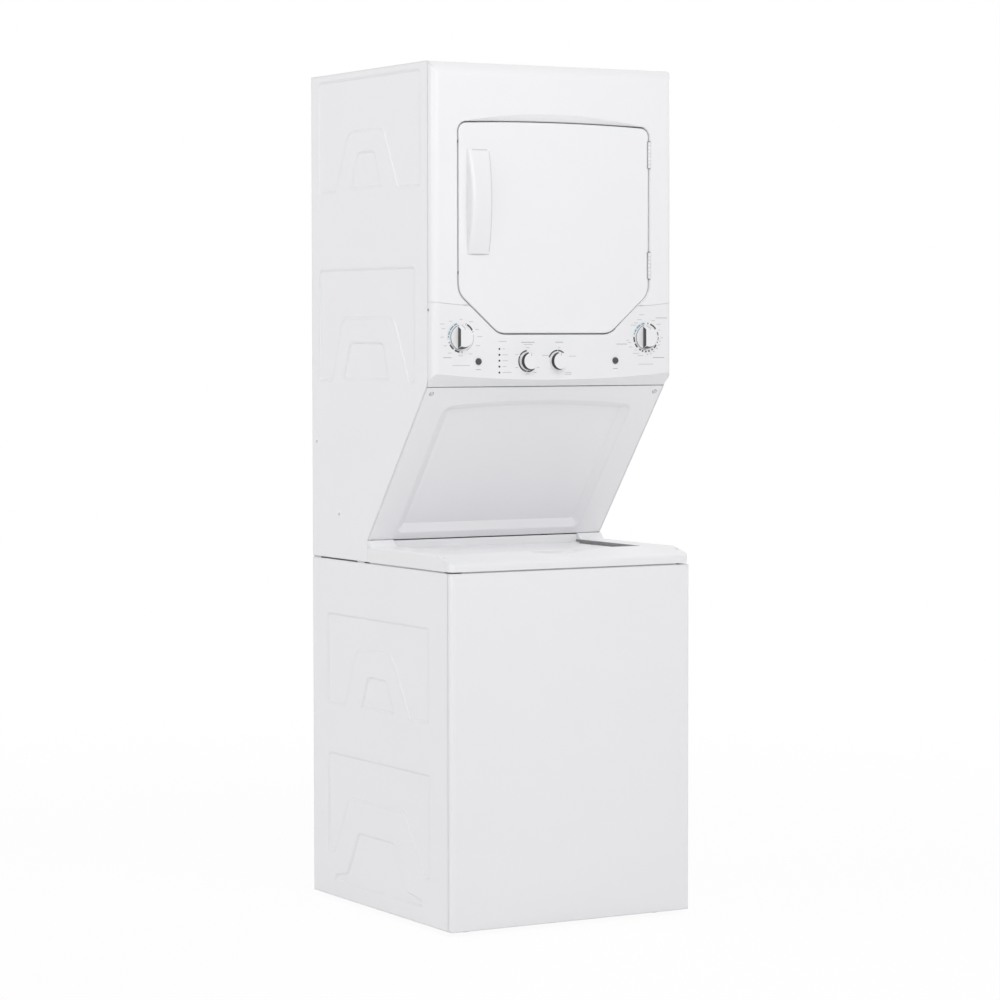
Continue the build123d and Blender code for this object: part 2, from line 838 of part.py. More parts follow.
# Dryer top panel
with BuildPart() as dryer_top_panel:
    block((-inner_half, inner_half), (dryer_front + crown_radius + 2.4, rear), (top - sheet, top))
keep(dryer_top_panel, "dryer_top_panel")

# Dryer rear panel, with the exhaust hole, the gland for the supply and slots for air
with BuildPart() as dryer_rear_panel:
    block((-inner_half, inner_half), (rear_inner, rear), (upper_bottom, top - sheet))
    with BuildSketch(front_plane(rear)) as dryer_rear_fields:
        with Locations((0, 1600)):
            RectangleRounded(420, 380, 40)
        with Locations((0, 950)):
            RectangleRounded(420, 200, 40)
    extrude(amount=press_depth + sheet)
    extrude(dryer_rear_fields.sketch, amount=press_depth, taper=press_taper, mode=Mode.SUBTRACT)
    with BuildSketch(front_plane(rear)):
        with Locations(duct_place):
            Circle(duct_radius + 3)
        with Locations((200, 1300)):
            Circle(14)
        with Locations((0, 950)):
            with GridLocations(180, 22, 2, 6):
                SlotOverall(130, 7)
    extrude(amount=press_depth + 2 * sheet, mode=Mode.SUBTRACT)
keep(dryer_rear_panel, "dryer_rear_panel")


# The rounded block behind the dryer's front face, and the same block inset by the sheet
def front_form(inset):
    with BuildPart() as form:
        with BuildSketch(side_plane(0)) as profile:
            Polygon(
                (dryer_front + inset, seam_middle - 20),
                (dryer_front + crown_radius + 2, seam_middle - 20),
                (dryer_front + crown_radius + 2, top - inset),
                (dryer_front + inset, top - inset),
            )
            fillet(profile.vertices().group_by(Axis.X)[0].sort_by(Axis.Y)[-1], crown_radius - inset)
        extrude(amount=half_width - inset, both=True)
        with BuildSketch(level(seam_middle - 20)) as plan:
            with Locations((0, dryer_front + inset)):
                Rectangle(2 * (half_width - inset), 40, align=(Align.CENTER, Align.MIN))
            fillet(plan.vertices().group_by(Axis.Y)[0], dryer_edge - inset)
        extrude(amount=top, mode=Mode.INTERSECT)
    return form.part


front_outer = front_form(0)
front_inner = front_form(sheet)
door_opening = door_outline(door_gap)
pocket_outer = door_outline(door_gap + sheet)
port = door_outline(-port_inset)
port_outer = door_outline(-port_inset + sheet)
with BuildPart() as dryer_front_panel:
    add(front_outer)
    add(front_inner, mode=Mode.SUBTRACT)
    block((-half_width - 1, half_width + 1), (upper_front - panel_seam, -200), (0, 1835), Mode.SUBTRACT)
    both_sides(
        (inner_half - 0.3, half_width + 1),
        (upper_front - panel_seam, -200),
        (0, top + 1),
        Mode.SUBTRACT,
    )
    # Door pocket, land and loading port
    with BuildSketch(front_plane(dryer_front)):
        add(pocket_outer)
    extrude(amount=land_face - dryer_front, dir=(0, 1, 0))
    with BuildSketch(front_plane(dryer_front)):
        add(door_opening)
    extrude(amount=land_face - dryer_front, dir=(0, 1, 0), mode=Mode.SUBTRACT)
    # Sloped brow above the door
    with BuildSketch(front_plane(dryer_front)):
        with BuildLine():
            brow_edge = ThreePointArc((-brow_half, door_top + 1), (0, brow_crown), (brow_half, door_top + 1))
            Line(brow_edge @ 1, brow_edge @ 0)
        make_face()
        add(door_opening, mode=Mode.SUBTRACT)
    extrude(amount=brow_depth + sheet, dir=(0, 1, 0))
    with BuildSketch(front_plane(dryer_front - 0.01)):
        with BuildLine():
            brow_top = ThreePointArc((-brow_half, door_top + 1), (0, brow_crown), (brow_half, door_top + 1))
            Polyline(brow_top @ 1, (brow_half, door_top - 12), (-brow_half, door_top - 12), brow_top @ 0)
        make_face()
    with BuildSketch(front_plane(dryer_front + brow_depth)):
        with BuildLine():
            brow_foot = ThreePointArc(
                (-brow_half, door_top - 3),
                (0, door_top + door_crown + door_gap),
                (brow_half, door_top - 3),
            )
            Polyline(brow_foot @ 1, (brow_half, door_top - 12), (-brow_half, door_top - 12), brow_foot @ 0)
        make_face()
    loft(ruled=True, mode=Mode.SUBTRACT)
    # The seam with the control panel follows a shallow V
    with BuildSketch(front_plane(dryer_front - 10)):
        Polygon(
            (-400, seam_end + seam_gap / 2),
            (-half_width, seam_end + seam_gap / 2),
            (-door_half, seam_middle + seam_gap / 2),
            (door_half, seam_middle + seam_gap / 2),
            (half_width, seam_end + seam_gap / 2),
            (400, seam_end + seam_gap / 2),
            (400, 1200),
            (-400, 1200),
        )
    extrude(amount=60, dir=(0, 1, 0), mode=Mode.SUBTRACT)
    with BuildSketch(front_plane(land_face)):
        add(pocket_outer)
        add(port, mode=Mode.SUBTRACT)
    extrude(amount=sheet, dir=(0, 1, 0))
    with BuildSketch(front_plane(land_face)):
        add(port_outer)
        add(port, mode=Mode.SUBTRACT)
    extrude(amount=bulkhead_face - land_face, dir=(0, 1, 0))
    # Slot for the lint filter and windows for the hinge knuckles
    block((-132, 132), (-243.5, -226.5), (door_bottom + 30, door_bottom + 60), Mode.SUBTRACT)
    for height in hinge_heights:
        block(
            (door_half - 1, hinge_x + knuckle_radius + 1),
            (hinge_y - 5, hinge_y + 7),
            (height - hinge_length / 2 - 1, height + hinge_length / 2 + 1),
            Mode.SUBTRACT,
        )
keep(dryer_front_panel, "dryer_front_panel")


# The control panel's solid form: an arched lower lip that runs back to a straight edge
def control_form(inset):
    with BuildPart() as form:
        with BuildSketch(front_plane(dryer_front + inset)):
            with BuildLine():
                lip = ThreePointArc(
                    (-half_width + inset, lip_end + inset),
                    (0, lip_middle + inset),
                    (half_width - inset, lip_end + inset),
                )
                Polyline(
                    lip @ 1,
                    (half_width - inset, seam_end - seam_gap / 2 - inset),
                    (door_half, seam_middle - seam_gap / 2 - inset),
                    (-door_half, seam_middle - seam_gap / 2 - inset),
                    (-half_width + inset, seam_end - seam_gap / 2 - inset),
                    lip @ 0,
                )
            make_face()
        with BuildSketch(front_plane(control_rear + inset)):
            with BuildLine():
                foot = Line(
                    (-half_width + inset, control_foot + inset),
                    (half_width - inset, control_foot + inset),
                )
                Polyline(
                    foot @ 1,
                    (half_width - inset, seam_end - seam_gap / 2 - inset),
                    (door_half, seam_middle - seam_gap / 2 - inset),
                    (-door_half, seam_middle - seam_gap / 2 - inset),
                    (-half_width + inset, seam_end - seam_gap / 2 - inset),
                    foot @ 0,
                )
            make_face()
        loft(ruled=True)
        with BuildSketch(level(control_foot - 20)) as plan:
            with Locations((0, dryer_front + inset)):
                Rectangle(2 * (half_width - inset), 80, align=(Align.CENTER, Align.MIN))
            fillet(plan.vertices().group_by(Axis.Y)[0], dryer_edge - inset)
        extrude(amount=300, mode=Mode.INTERSECT)
    return form.part


control_outer = control_form(0)
control_inner = control_form(control_wall)
control_pocket = door_outline(door_gap + control_wall)
knob_places = [washer_dial, dryer_dial, temperature_dial, option_dial]
button_places = [washer_start, dryer_start]
button_radius = 7.0
with BuildPart() as control_panel:
    add(control_outer)
    add(control_inner, mode=Mode.SUBTRACT)
    both_sides((281, half_width + 1), (upper_front - panel_seam, -200), (lip_end - 10, 1400), Mode.SUBTRACT)
    both_sides(
        (inner_half - 0.3, half_width + 1),
        (upper_front - panel_seam, -200),
        (1100, 1400),
        Mode.SUBTRACT,
    )
    with BuildSketch(front_plane(dryer_front + 1)):
        add(control_pocket)
        with Locations((0, seam_middle - seam_gap / 2)):
            Rectangle(800, 500, align=(Align.CENTER, Align.MIN), mode=Mode.SUBTRACT)
    extrude(amount=land_face - dryer_front - 1, dir=(0, 1, 0))
    block((-door_half, door_half), (land_face, -200), (door_bottom - 8, 1400), Mode.SUBTRACT)
    with BuildSketch(front_plane(dryer_front - 1)):
        add(door_opening)
    extrude(amount=60, dir=(0, 1, 0), mode=Mode.SUBTRACT)
    with BuildSketch(front_plane(dryer_front - 1)):
        with Locations(*knob_places):
            Circle(stem_radius + 0.6)
        with Locations(*button_places):
            Circle(button_radius + 0.3)
        with Locations(*[(light_x, height) for height in light_heights]):
            Circle(2.2)
    extrude(amount=control_wall + 2, dir=(0, 1, 0), mode=Mode.SUBTRACT)
keep(control_panel, "control_panel")

# Indicator lights, flanged behind the panel
with BuildPart() as indicator_lights:
    for height in light_heights:
        round_bar(front_plane(dryer_front + control_wall + 2), (light_x, height), 3.2, 2)
        round_bar(front_plane(dryer_front + control_wall), (light_x, height), 2.1, control_wall + 0.5)
keep(indicator_lights, "indicator_lights")

# Switch bodies behind the knobs and buttons
panel_back = dryer_front + control_wall
with BuildPart() as control_switches:
    with BuildSketch(front_plane(panel_back)):
        with Locations(washer_dial, dryer_dial):
            RectangleRounded(56, 56, 6)
    extrude(amount=30, dir=(0, 1, 0))
    with BuildSketch(front_plane(panel_back)):
        with Locations(temperature_dial, option_dial):
            RectangleRounded(30, 30, 4)
    extrude(amount=14.5, dir=(0, 1, 0))
    with BuildSketch(front_plane(panel_back)):
        with Locations(*knob_places):
            Circle(stem_radius + running)
    extrude(amount=11, dir=(0, 1, 0), mode=Mode.SUBTRACT)
    with BuildSketch(front_plane(panel_back)):
        with Locations(*button_places):
            RectangleRounded(26, 26, 4)
    extrude(amount=22, dir=(0, 1, 0))
    with BuildSketch(front_plane(panel_back)):
        with Locations(*button_places):
            Circle(10.5)
    extrude(amount=8, dir=(0, 1, 0), mode=Mode.SUBTRACT)
keep(control_switches, "control_switches")


# Cycle knob: a thin skirt under a tapered grip cut straight along its left, and a stem into the switch
skirt_height = 4.0
grip_height = 17.5
grip_taper = 22
grip_cut = -9.5


def cycle_knob(place):
    skirt_face = dryer_front - skirt_height
    with BuildPart() as knob:
        round_bar(front_plane(dryer_front - 0.4), place, 27.5, skirt_height - 0.4)
        chamfer(knob.faces().sort_by(Axis.Y)[0].edges(), 1.5)
        with BuildSketch(front_plane(skirt_face)) as grip:
            with Locations(place):
                Circle(25.5)
        extrude(grip.sketch, amount=grip_height - skirt_height, taper=grip_taper)
        block(
            (place[0] - 40, place[0] + grip_cut),
            (dryer_front - grip_height - 1, skirt_face),
            (place[1] - 40, place[1] + 40),
            Mode.SUBTRACT,
        )
        fillet(knob.faces().sort_by(Axis.Y)[0].edges(), 1.2)
        round_bar(front_plane(dryer_front - 1), place, stem_radius, -(control_wall + 1 + 9))
    return knob


washer_cycle_knob = cycle_knob(washer_dial)
keep(washer_cycle_knob, "washer_cycle_knob")
dryer_cycle_knob = cycle_knob(dryer_dial)
keep(dryer_cycle_knob, "dryer_cycle_knob")


# Selector knob: a tapered skirt under a round cap, and a stem into the switch
def selector_knob(place):
    with BuildPart() as knob:
        with BuildSketch(front_plane(dryer_front - 0.4)) as skirt:
            with Locations(place):
                Circle(20.5)
        extrude(skirt.sketch, amount=8.6, taper=10)
        round_bar(front_plane(dryer_front - 8.5), place, 17.6, 8)
        fillet(knob.faces().sort_by(Axis.Y)[0].edges(), 1.2)
        round_bar(front_plane(dryer_front - 1), place, stem_radius, -(control_wall + 1 + 9))
    return knob


temperature_knob = selector_knob(temperature_dial)
keep(temperature_knob, "temperature_knob")
option_knob = selector_knob(option_dial)
keep(option_knob, "option_knob")


# Start button: a domed cap held behind the panel by its collar
def start_button(place):
    with BuildPart() as button:
        round_bar(front_plane(dryer_front + control_wall + 0.2), place, button_radius, control_wall + 3.4)
        chamfer(button.faces().sort_by(Axis.Y)[0].edges(), 1)
        round_bar(front_plane(dryer_front + control_wall + 2.2), place, 9.5, 2)
        round_bar(front_plane(dryer_front + control_wall + 4.6), place, 4, 3)
    return button


washer_start_button = start_button(washer_start)
keep(washer_start_button, "washer_start_button")
dryer_start_button = start_button(dryer_start)
keep(dryer_start_button, "dryer_start_button")

# Access panel with its broad shallow recess, arched along the top
recess_depth = 12.0
recess_half = 238.0
recess_foot = slope_length - 18.0
with BuildPart() as access_panel:
    with BuildSketch(slope_plane):
        Rectangle(2 * inner_half - 0.6, slope_length, align=(Align.CENTER, Align.MAX))
    extrude(amount=-sheet)
    with BuildSketch(slope_plane) as recess:
        with BuildLine():
            arch = ThreePointArc((-recess_half, -54), (0, -39), (recess_half, -54))
            Polyline(arch @ 1, (recess_half, -recess_foot), (-recess_half, -recess_foot), arch @ 0)
        make_face()
        fillet(recess.vertices(), 20)
    extrude(amount=-recess_depth - sheet)
    extrude(recess.sketch, amount=-recess_depth, taper=58, mode=Mode.SUBTRACT)
    block((-280, 280), (slope_bottom[0], slope_bottom[0] + 15), (slope_bottom[1], slope_bottom[1] + sheet))
keep(access_panel, "access_panel")

# Front bulkhead: closes the drum's front, carries its rim, and holds the lint filter's pocket
filter_pocket_half = 132.0
with BuildPart() as front_bulkhead:
    block((-inner_half, inner_half), (bulkhead_face, bulkhead_face + 1.5), (1178, top - 2 * sheet))
    with BuildSketch(front_plane(bulkhead_face)):
        add(port)
    extrude(amount=4, dir=(0, 1, 0), mode=Mode.SUBTRACT)
    with BuildSketch(front_plane(bulkhead_face + 1.5)):
        with Locations((0, drum_z)):
            Circle(drum_radius - drum_wall - 0.4)
            Circle(drum_radius - drum_wall - 6, mode=Mode.SUBTRACT)
    extrude(amount=22, dir=(0, 1, 0))
    block((-filter_pocket_half, filter_pocket_half), (-243.5, bulkhead_face), (1186, 1322))
    block(
        (-filter_pocket_half + 2, filter_pocket_half - 2),
        (-241.5, bulkhead_face),
        (1188, 1330),
        Mode.SUBTRACT,
    )
    block((10, 128), (bulkhead_face - 1, bulkhead_face + 3), (1196, 1250), Mode.SUBTRACT)
keep(front_bulkhead, "front_bulkhead")

# Lint filter: a framed screen that lifts out of its pocket
with BuildPart() as lint_filter:
    block((-128, 128), (-240.5, -228.5), (1188.5, 1324))
    for column in (-1, 0, 1):
        block((column * 82 - 38, column * 82 + 38), (-242, -227), (1200, 1300), Mode.SUBTRACT)
        block((column * 82 - 38, column * 82 + 38), (-235, -234), (1200, 1300))
keep(lint_filter, "lint_filter")

# Rear bulkhead with the drum's bearing and the warm air window
drum_shaft_radius = 12.0
with BuildPart() as rear_bulkhead:
    block((-inner_half, inner_half), (rear_bulkhead_face, rear_bulkhead_face + 1.5), (1180, top - 2 * sheet))
    round_bar(front_plane(rear_bulkhead_face + 9), (0, drum_z), 32, 14)
    round_bar(front_plane(rear_bulkhead_face + 12), (0, drum_z), drum_shaft_radius + 0.06, 40, Mode.SUBTRACT)
    round_bar(front_plane(rear_bulkhead_face + 3), duct_place, duct_radius + 1, 6, Mode.SUBTRACT)
    with BuildSketch(front_plane(rear_bulkhead_face)):
        with Locations((0, 1390)):
            RectangleRounded(240, 90, 30)
    extrude(amount=4, dir=(0, 1, 0), mode=Mode.SUBTRACT)
keep(rear_bulkhead, "rear_bulkhead")

# Heater box over the window, behind the bulkhead
with BuildPart() as heater_box:
    block((-140, 140), (rear_bulkhead_face + 1.5, rear_inner - press_depth - sheet), (1330, 1450))
    fillet(heater_box.edges().filter_by(Axis.Y), 20)
    offset(amount=-1.5, openings=heater_box.faces().sort_by(Axis.Y)[0])
keep(heater_box, "heater_box")

# Drum: a drawn cylinder with a dished back and a stub shaft
drum_axis = Axis((0, 0, drum_z), (0, 1, 0))
inside_radius = drum_radius - drum_wall
with BuildPart() as dryer_drum:
    with BuildSketch(level(drum_z)):
        with BuildLine():
            Polyline(
                (0, drum_back),
                (150, drum_back),
                (170, drum_back - 12),
                (drum_radius - 10, drum_back - 12),
                (drum_radius, drum_back - 22),
                (drum_radius, drum_front),
                (inside_radius, drum_front),
                (inside_radius, drum_back - 23),
                (drum_radius - 11, drum_back - 14),
                (171, drum_back - 14),
                (151, drum_back - 2),
                (0, drum_back - 2),
                close=True,
            )
        make_face()
    revolve(axis=drum_axis)
    round_bar(front_plane(drum_back), (0, drum_z), drum_shaft_radius, -(rear_bulkhead_face - drum_back + 18))
    round_bar(front_plane(drum_back), (0, drum_z), 26, -4)
keep(dryer_drum, "dryer_drum")

# Three hollow lifters inside the drum
lifter_wall = 2.5
with BuildPart() as drum_baffles:
    for third in range(3):
        turn = 90 + 120 * third
        across = Vector(cos(radians(turn)), 0, sin(radians(turn)))
        seat = Plane(
            Vector(0, drum_front + 40, drum_z),
            x_dir=across,
            z_dir=(0, 1, 0),
        )
        with BuildSketch(seat) as lifter:
            Polygon((190, -9), (196, -14), (272, -30), (272, 30), (196, 14), (190, 9))
            with BuildSketch(mode=Mode.PRIVATE) as bound:
                Circle(inside_radius)
            add(bound.sketch, mode=Mode.INTERSECT)
        extrude(lifter.sketch, amount=370)
        with BuildSketch(seat.offset(lifter_wall)) as hollow:
            Polygon((193, -7), (197, -11), (272, -27), (272, 27), (197, 11), (193, 7))
        extrude(hollow.sketch, amount=370 - 2 * lifter_wall, mode=Mode.SUBTRACT)
keep(drum_baffles, "drum_baffles")

# Dryer motor on its cradle
with BuildPart() as dryer_motor:
    round_bar(front_plane(-40), motor_place, 58, -135)
    chamfer(dryer_motor.edges().filter_by(GeomType.CIRCLE), 5)
    block((motor_place[0] - 50, motor_place[0] + 50), (-20, 75), (shelf_z + 1.5, motor_place[1] - 40))
    round_bar(front_plane(-60), motor_place, motor_shaft_radius + running, -200, Mode.SUBTRACT)
keep(dryer_motor, "dryer_motor")

# Motor shaft with the belt pulley at its rear end
dryer_pulley_radius = 14.0
with BuildPart() as dryer_motor_shaft:
    round_bar(front_plane(-140), motor_place, motor_shaft_radius, -(belt_y + 140))
    round_bar(front_plane(belt_y - 3), motor_place, dryer_pulley_radius + 4, -2)
    round_bar(front_plane(belt_y - 1), motor_place, dryer_pulley_radius, -(belt_width + 2))
    round_bar(front_plane(belt_y + belt_width + 1), motor_place, dryer_pulley_radius + 4, -2)
keep(dryer_motor_shaft, "dryer_motor_shaft")

# Blower wheel with a ring of blades
blower_front = -150.0
blower_back = -72.0
with BuildPart() as blower_wheel:
    round_bar(front_plane(blower_back - 8), motor_place, 66, 3)
    round_bar(front_plane(blower_back - 11), motor_place, 16, 40)
    with BuildSketch(front_plane(blower_back - 11)):
        with Locations(motor_place):
            with PolarLocations(57, 16):
                Rectangle(16, 2, rotation=35)
    extrude(amount=48)
    with BuildSketch(front_plane(blower_back - 55)):
        with Locations(motor_place):
            Circle(66)
            Circle(48, mode=Mode.SUBTRACT)
    extrude(amount=4)
    round_bar(front_plane(blower_back), motor_place, motor_shaft_radius + 0.02, 100, Mode.SUBTRACT)
keep(blower_wheel, "blower_wheel")

# Blower housing: a round chamber, an outlet box to the exhaust duct, and an inlet from the lint filter
with BuildPart() as blower_housing:
    with BuildSketch(front_plane(blower_back)):
        with Locations(motor_place):
            Circle(76)
        with Locations((-128, 1112)):
            Rectangle(198, 110, align=(Align.MIN, Align.MIN))
    extrude(amount=blower_back - blower_front)
    with BuildSketch(front_plane(blower_back - 2)):
        with Locations(motor_place):
            Circle(74)
        with Locations((-126, 1114)):
            Rectangle(194, 106, align=(Align.MIN, Align.MIN))
    extrude(amount=blower_back - blower_front - 4, mode=Mode.SUBTRACT)
    with BuildSketch(front_plane(blower_front)):
        with Locations(motor_place):
            Circle(46)
    with BuildSketch(front_plane(bulkhead_face + 1.5)):
        with Locations((69, 1223)):
            RectangleRounded(122, 58, 12)
    loft()
    with BuildSketch(front_plane(blower_front)):
        with Locations(motor_place):
            Circle(44)
    with BuildSketch(front_plane(bulkhead_face + 1.5)):
        with Locations((69, 1223)):
            RectangleRounded(118, 54, 10)
    loft(mode=Mode.SUBTRACT)
    round_bar(front_plane(blower_front + 3), motor_place, 44, 4, Mode.SUBTRACT)
    round_bar(front_plane(blower_back + 1), motor_place, 20, 4, Mode.SUBTRACT)
    round_bar(front_plane(blower_back + 1), duct_place, duct_radius - 1, 4, Mode.SUBTRACT)
    block((motor_place[0] - 40, motor_place[0] + 40), (-125, -85), (shelf_z + 1.5, motor_place[1] - 75.5))
keep(blower_housing, "blower_housing")

# Exhaust duct to the collar behind the machine
with BuildPart() as exhaust_duct:
    round_bar(front_plane(blower_back), duct_place, duct_radius, -(duct_end - blower_back))
    round_bar(front_plane(blower_back), duct_place, duct_radius + 5, -2)
    round_bar(front_plane(rear_inner - 2), duct_place, duct_radius + 7, -2)
    round_bar(
        front_plane(blower_back - 1),
        duct_place,
        duct_radius - 0.9,
        -(duct_end - blower_back + 2),
        Mode.SUBTRACT,
    )
keep(exhaust_duct, "exhaust_duct")

# Drum belt, and the idler that leans on its straight run
belt_clear = 0.4
with BuildPart() as drum_belt:
    belt_loop(
        front_plane(belt_y),
        (0, drum_z),
        drum_radius + belt_clear,
        motor_place,
        dryer_pulley_radius + belt_clear,
        -belt_width,
    )
keep(drum_belt, "drum_belt")

idler_radius = 20.0
to_motor = Vector(motor_place[0], 0, motor_place[1] - drum_z)
wrap = degrees(acos((drum_radius - dryer_pulley_radius) / to_motor.length))
away = radians(degrees(atan2(to_motor.Z, to_motor.X)) + wrap)
outward = (cos(away), sin(away))
run_start = (
    outward[0] * (drum_radius + belt_clear + belt_thick),
    drum_z + outward[1] * (drum_radius + belt_clear + belt_thick),
)
run_end = (
    motor_place[0] + outward[0] * (dryer_pulley_radius + belt_clear + belt_thick),
    motor_place[1] + outward[1] * (dryer_pulley_radius + belt_clear + belt_thick),
)
idler_along = 0.62
idler_place = (
    run_start[0] + (run_end[0] - run_start[0]) * idler_along + outward[0] * (idler_radius + belt_clear),
    run_start[1] + (run_end[1] - run_start[1]) * idler_along + outward[1] * (idler_radius + belt_clear),
)
with BuildPart() as idler_pulley:
    round_bar(front_plane(belt_y - 2), idler_place, idler_radius, -(belt_width + 4))
    round_bar(front_plane(belt_y - 3), idler_place, 5 + running, -40, Mode.SUBTRACT)
keep(idler_pulley, "idler_pulley")

with BuildPart() as idler_bracket:
    block(
        (idler_place[0] - 14, idler_place[0] + 14),
        (belt_y + belt_width + 4, belt_y + belt_width + 7),
        (shelf_z + 1.5, idler_place[1] + 12),
    )
    block(
        (idler_place[0] - 14, idler_place[0] + 14),
        (belt_y + belt_width + 4, belt_y + belt_width + 34),
        (shelf_z + 1.5, shelf_z + 4.5),
    )
    round_bar(front_plane(belt_y + belt_width + 5), idler_place, 5, belt_width + 9)
keep(idler_bracket, "idler_bracket")

# Door: outer pan, inner pan, seal, handle and hinge leaves
with BuildPart() as door_outer:
    with BuildSketch(front_plane(door_face)):
        add(door_outline(-door_gap))
    extrude(amount=door_back - door_face, dir=(0, 1, 0))
    fillet(door_outer.faces().sort_by(Axis.Y)[0].edges(), 3)
    offset(amount=-sheet, openings=door_outer.faces().sort_by(Axis.Y)[-1])
    for height in hinge_heights:
        block(
            (hinge_x - knuckle_radius - 1.5, hinge_x + 1),
            (door_face - 1, door_face + 8),
            (height - hinge_length / 2 - 1, height + hinge_length / 2 + 1),
            Mode.SUBTRACT,
        )
keep(door_outer, "door_outer")

inner_pan_back = door_back + sheet
with BuildPart() as door_inner:
    with BuildSketch(front_plane(door_back)):
        add(door_outline(-door_gap - 1))
    extrude(amount=sheet, dir=(0, 1, 0))
    with BuildSketch(front_plane(inner_pan_back)) as dish:
        add(door_outline(-70))
        fillet(dish.vertices(), 30)
    extrude(amount=8 + sheet)
    extrude(dish.sketch, amount=8, taper=30, mode=Mode.SUBTRACT)
keep(door_inner, "door_inner")

with BuildPart() as door_seal:
    with BuildSketch(front_plane(inner_pan_back)):
        add(door_outline(-20))
        add(door_outline(-34), mode=Mode.SUBTRACT)
    extrude(amount=land_face - 0.3 - inner_pan_back, dir=(0, 1, 0))
keep(door_seal, "door_seal")

handle_left = -220.0
handle_right = -167.0
handle_foot = 1456.0
handle_head = 1680.0
handle_bow = 31.0
handle_rim = 23.5
handle_waist = 4.0
handle_middle = (handle_foot + handle_head) / 2
with BuildPart() as door_handle:
    for x, depth in ((handle_left, handle_bow), (handle_right, handle_rim)):
        with BuildSketch(side_plane(x)):
            with BuildLine():
                bow = ThreePointArc(
                    (door_face - 4, handle_foot),
                    (door_face - depth, handle_middle),
                    (door_face - 4, handle_head),
                )
                Polyline(bow @ 1, (door_face, handle_head), (door_face, handle_foot), bow @ 0)
            make_face()
    loft(ruled=True)
    fillet(door_handle.faces().sort_by(Axis.X)[0].edges().sort_by(Axis.Y)[0], 7)
    # Hollow for the fingers, open to the right, and a waisted right edge
    for x, depth in ((handle_left + 6, handle_bow - 6), (handle_right + 1, handle_rim - 4)):
        with BuildSketch(side_plane(x)):
            with BuildLine():
                hollow = ThreePointArc(
                    (door_face, handle_foot + 10),
                    (door_face - depth, handle_middle),
                    (door_face, handle_head - 10),
                )
                Line(hollow @ 1, hollow @ 0)
            make_face()
    loft(ruled=True, mode=Mode.SUBTRACT)
    with BuildSketch(front_plane(door_face)):
        with BuildLine():
            waist = ThreePointArc(
                (handle_right, handle_foot + 4),
                (handle_right - handle_waist, handle_middle),
                (handle_right, handle_head - 4),
            )
            Line(waist @ 1, waist @ 0)
        make_face()
    extrude(amount=handle_bow + 1, mode=Mode.SUBTRACT)
    block(
        (handle_left + 20, handle_right + 1),
        (door_face - 2, door_face + 1),
        (0, handle_middle),
        Mode.SUBTRACT,
    )
keep(door_handle, "door_handle")

knuckle_count = 7
knuckle = hinge_length / knuckle_count
knuckle_play = 0.3
leaf_thick = 1.4
with BuildPart() as door_hinge_posts:
    plate_y = dryer_front + sheet
    for height in hinge_heights:
        foot = height - hinge_length / 2
        for place in range(0, knuckle_count, 2):
            low = foot + place * knuckle + knuckle_play / 2
            round_bar(level(low), (hinge_x, hinge_y), knuckle_radius, knuckle - knuckle_play)
            high = low + knuckle - knuckle_play
            block((hinge_x, hinge_x + 24), (plate_y, plate_y + leaf_thick), (low, high))
        round_bar(level(foot), (hinge_x, hinge_y), hinge_pin, hinge_length)
        block((hinge_x + 10, hinge_x + 24), (plate_y, plate_y + leaf_thick), (foot, foot + hinge_length))
keep(door_hinge_posts, "door_hinge_posts")

with BuildPart() as door_hinge_leaves:
    plate_y = door_face + sheet
    for height in hinge_heights:
        foot = height - hinge_length / 2
        for place in range(1, knuckle_count, 2):
            low = foot + place * knuckle + knuckle_play / 2
            round_bar(level(low), (hinge_x, hinge_y), knuckle_radius, knuckle - knuckle_play)
            high = low + knuckle - knuckle_play
            block((hinge_x - 24, hinge_x), (plate_y, plate_y + leaf_thick), (low, high))
        block((hinge_x - 24, hinge_x - 10), (plate_y, plate_y + leaf_thick), (foot, foot + hinge_length))
        round_bar(level(foot - 1), (hinge_x, hinge_y), hinge_pin + running, hinge_length + 2, Mode.SUBTRACT)
keep(door_hinge_leaves, "door_hinge_leaves")
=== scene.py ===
import json
from math import atan2, cos, degrees, pi, radians, sin, tan

import bmesh
import bpy
from mathutils import Matrix, Vector


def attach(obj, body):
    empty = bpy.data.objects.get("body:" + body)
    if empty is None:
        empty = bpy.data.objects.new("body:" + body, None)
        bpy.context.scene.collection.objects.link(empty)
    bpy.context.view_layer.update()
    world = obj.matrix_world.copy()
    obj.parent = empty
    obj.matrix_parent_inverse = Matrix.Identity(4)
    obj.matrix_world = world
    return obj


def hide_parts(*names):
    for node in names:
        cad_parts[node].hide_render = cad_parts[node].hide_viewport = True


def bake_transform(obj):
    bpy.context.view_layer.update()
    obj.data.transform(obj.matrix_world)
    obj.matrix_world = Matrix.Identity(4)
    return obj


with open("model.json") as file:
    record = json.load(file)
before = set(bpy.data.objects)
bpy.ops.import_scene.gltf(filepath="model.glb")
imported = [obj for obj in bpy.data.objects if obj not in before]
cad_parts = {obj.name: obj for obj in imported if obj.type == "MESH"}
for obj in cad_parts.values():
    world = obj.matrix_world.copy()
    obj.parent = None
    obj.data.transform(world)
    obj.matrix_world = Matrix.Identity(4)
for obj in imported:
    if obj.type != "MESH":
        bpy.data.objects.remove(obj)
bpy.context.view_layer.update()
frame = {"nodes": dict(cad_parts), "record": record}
mm = 0.001
print("frame loaded,", len(frame["nodes"]), "nodes")


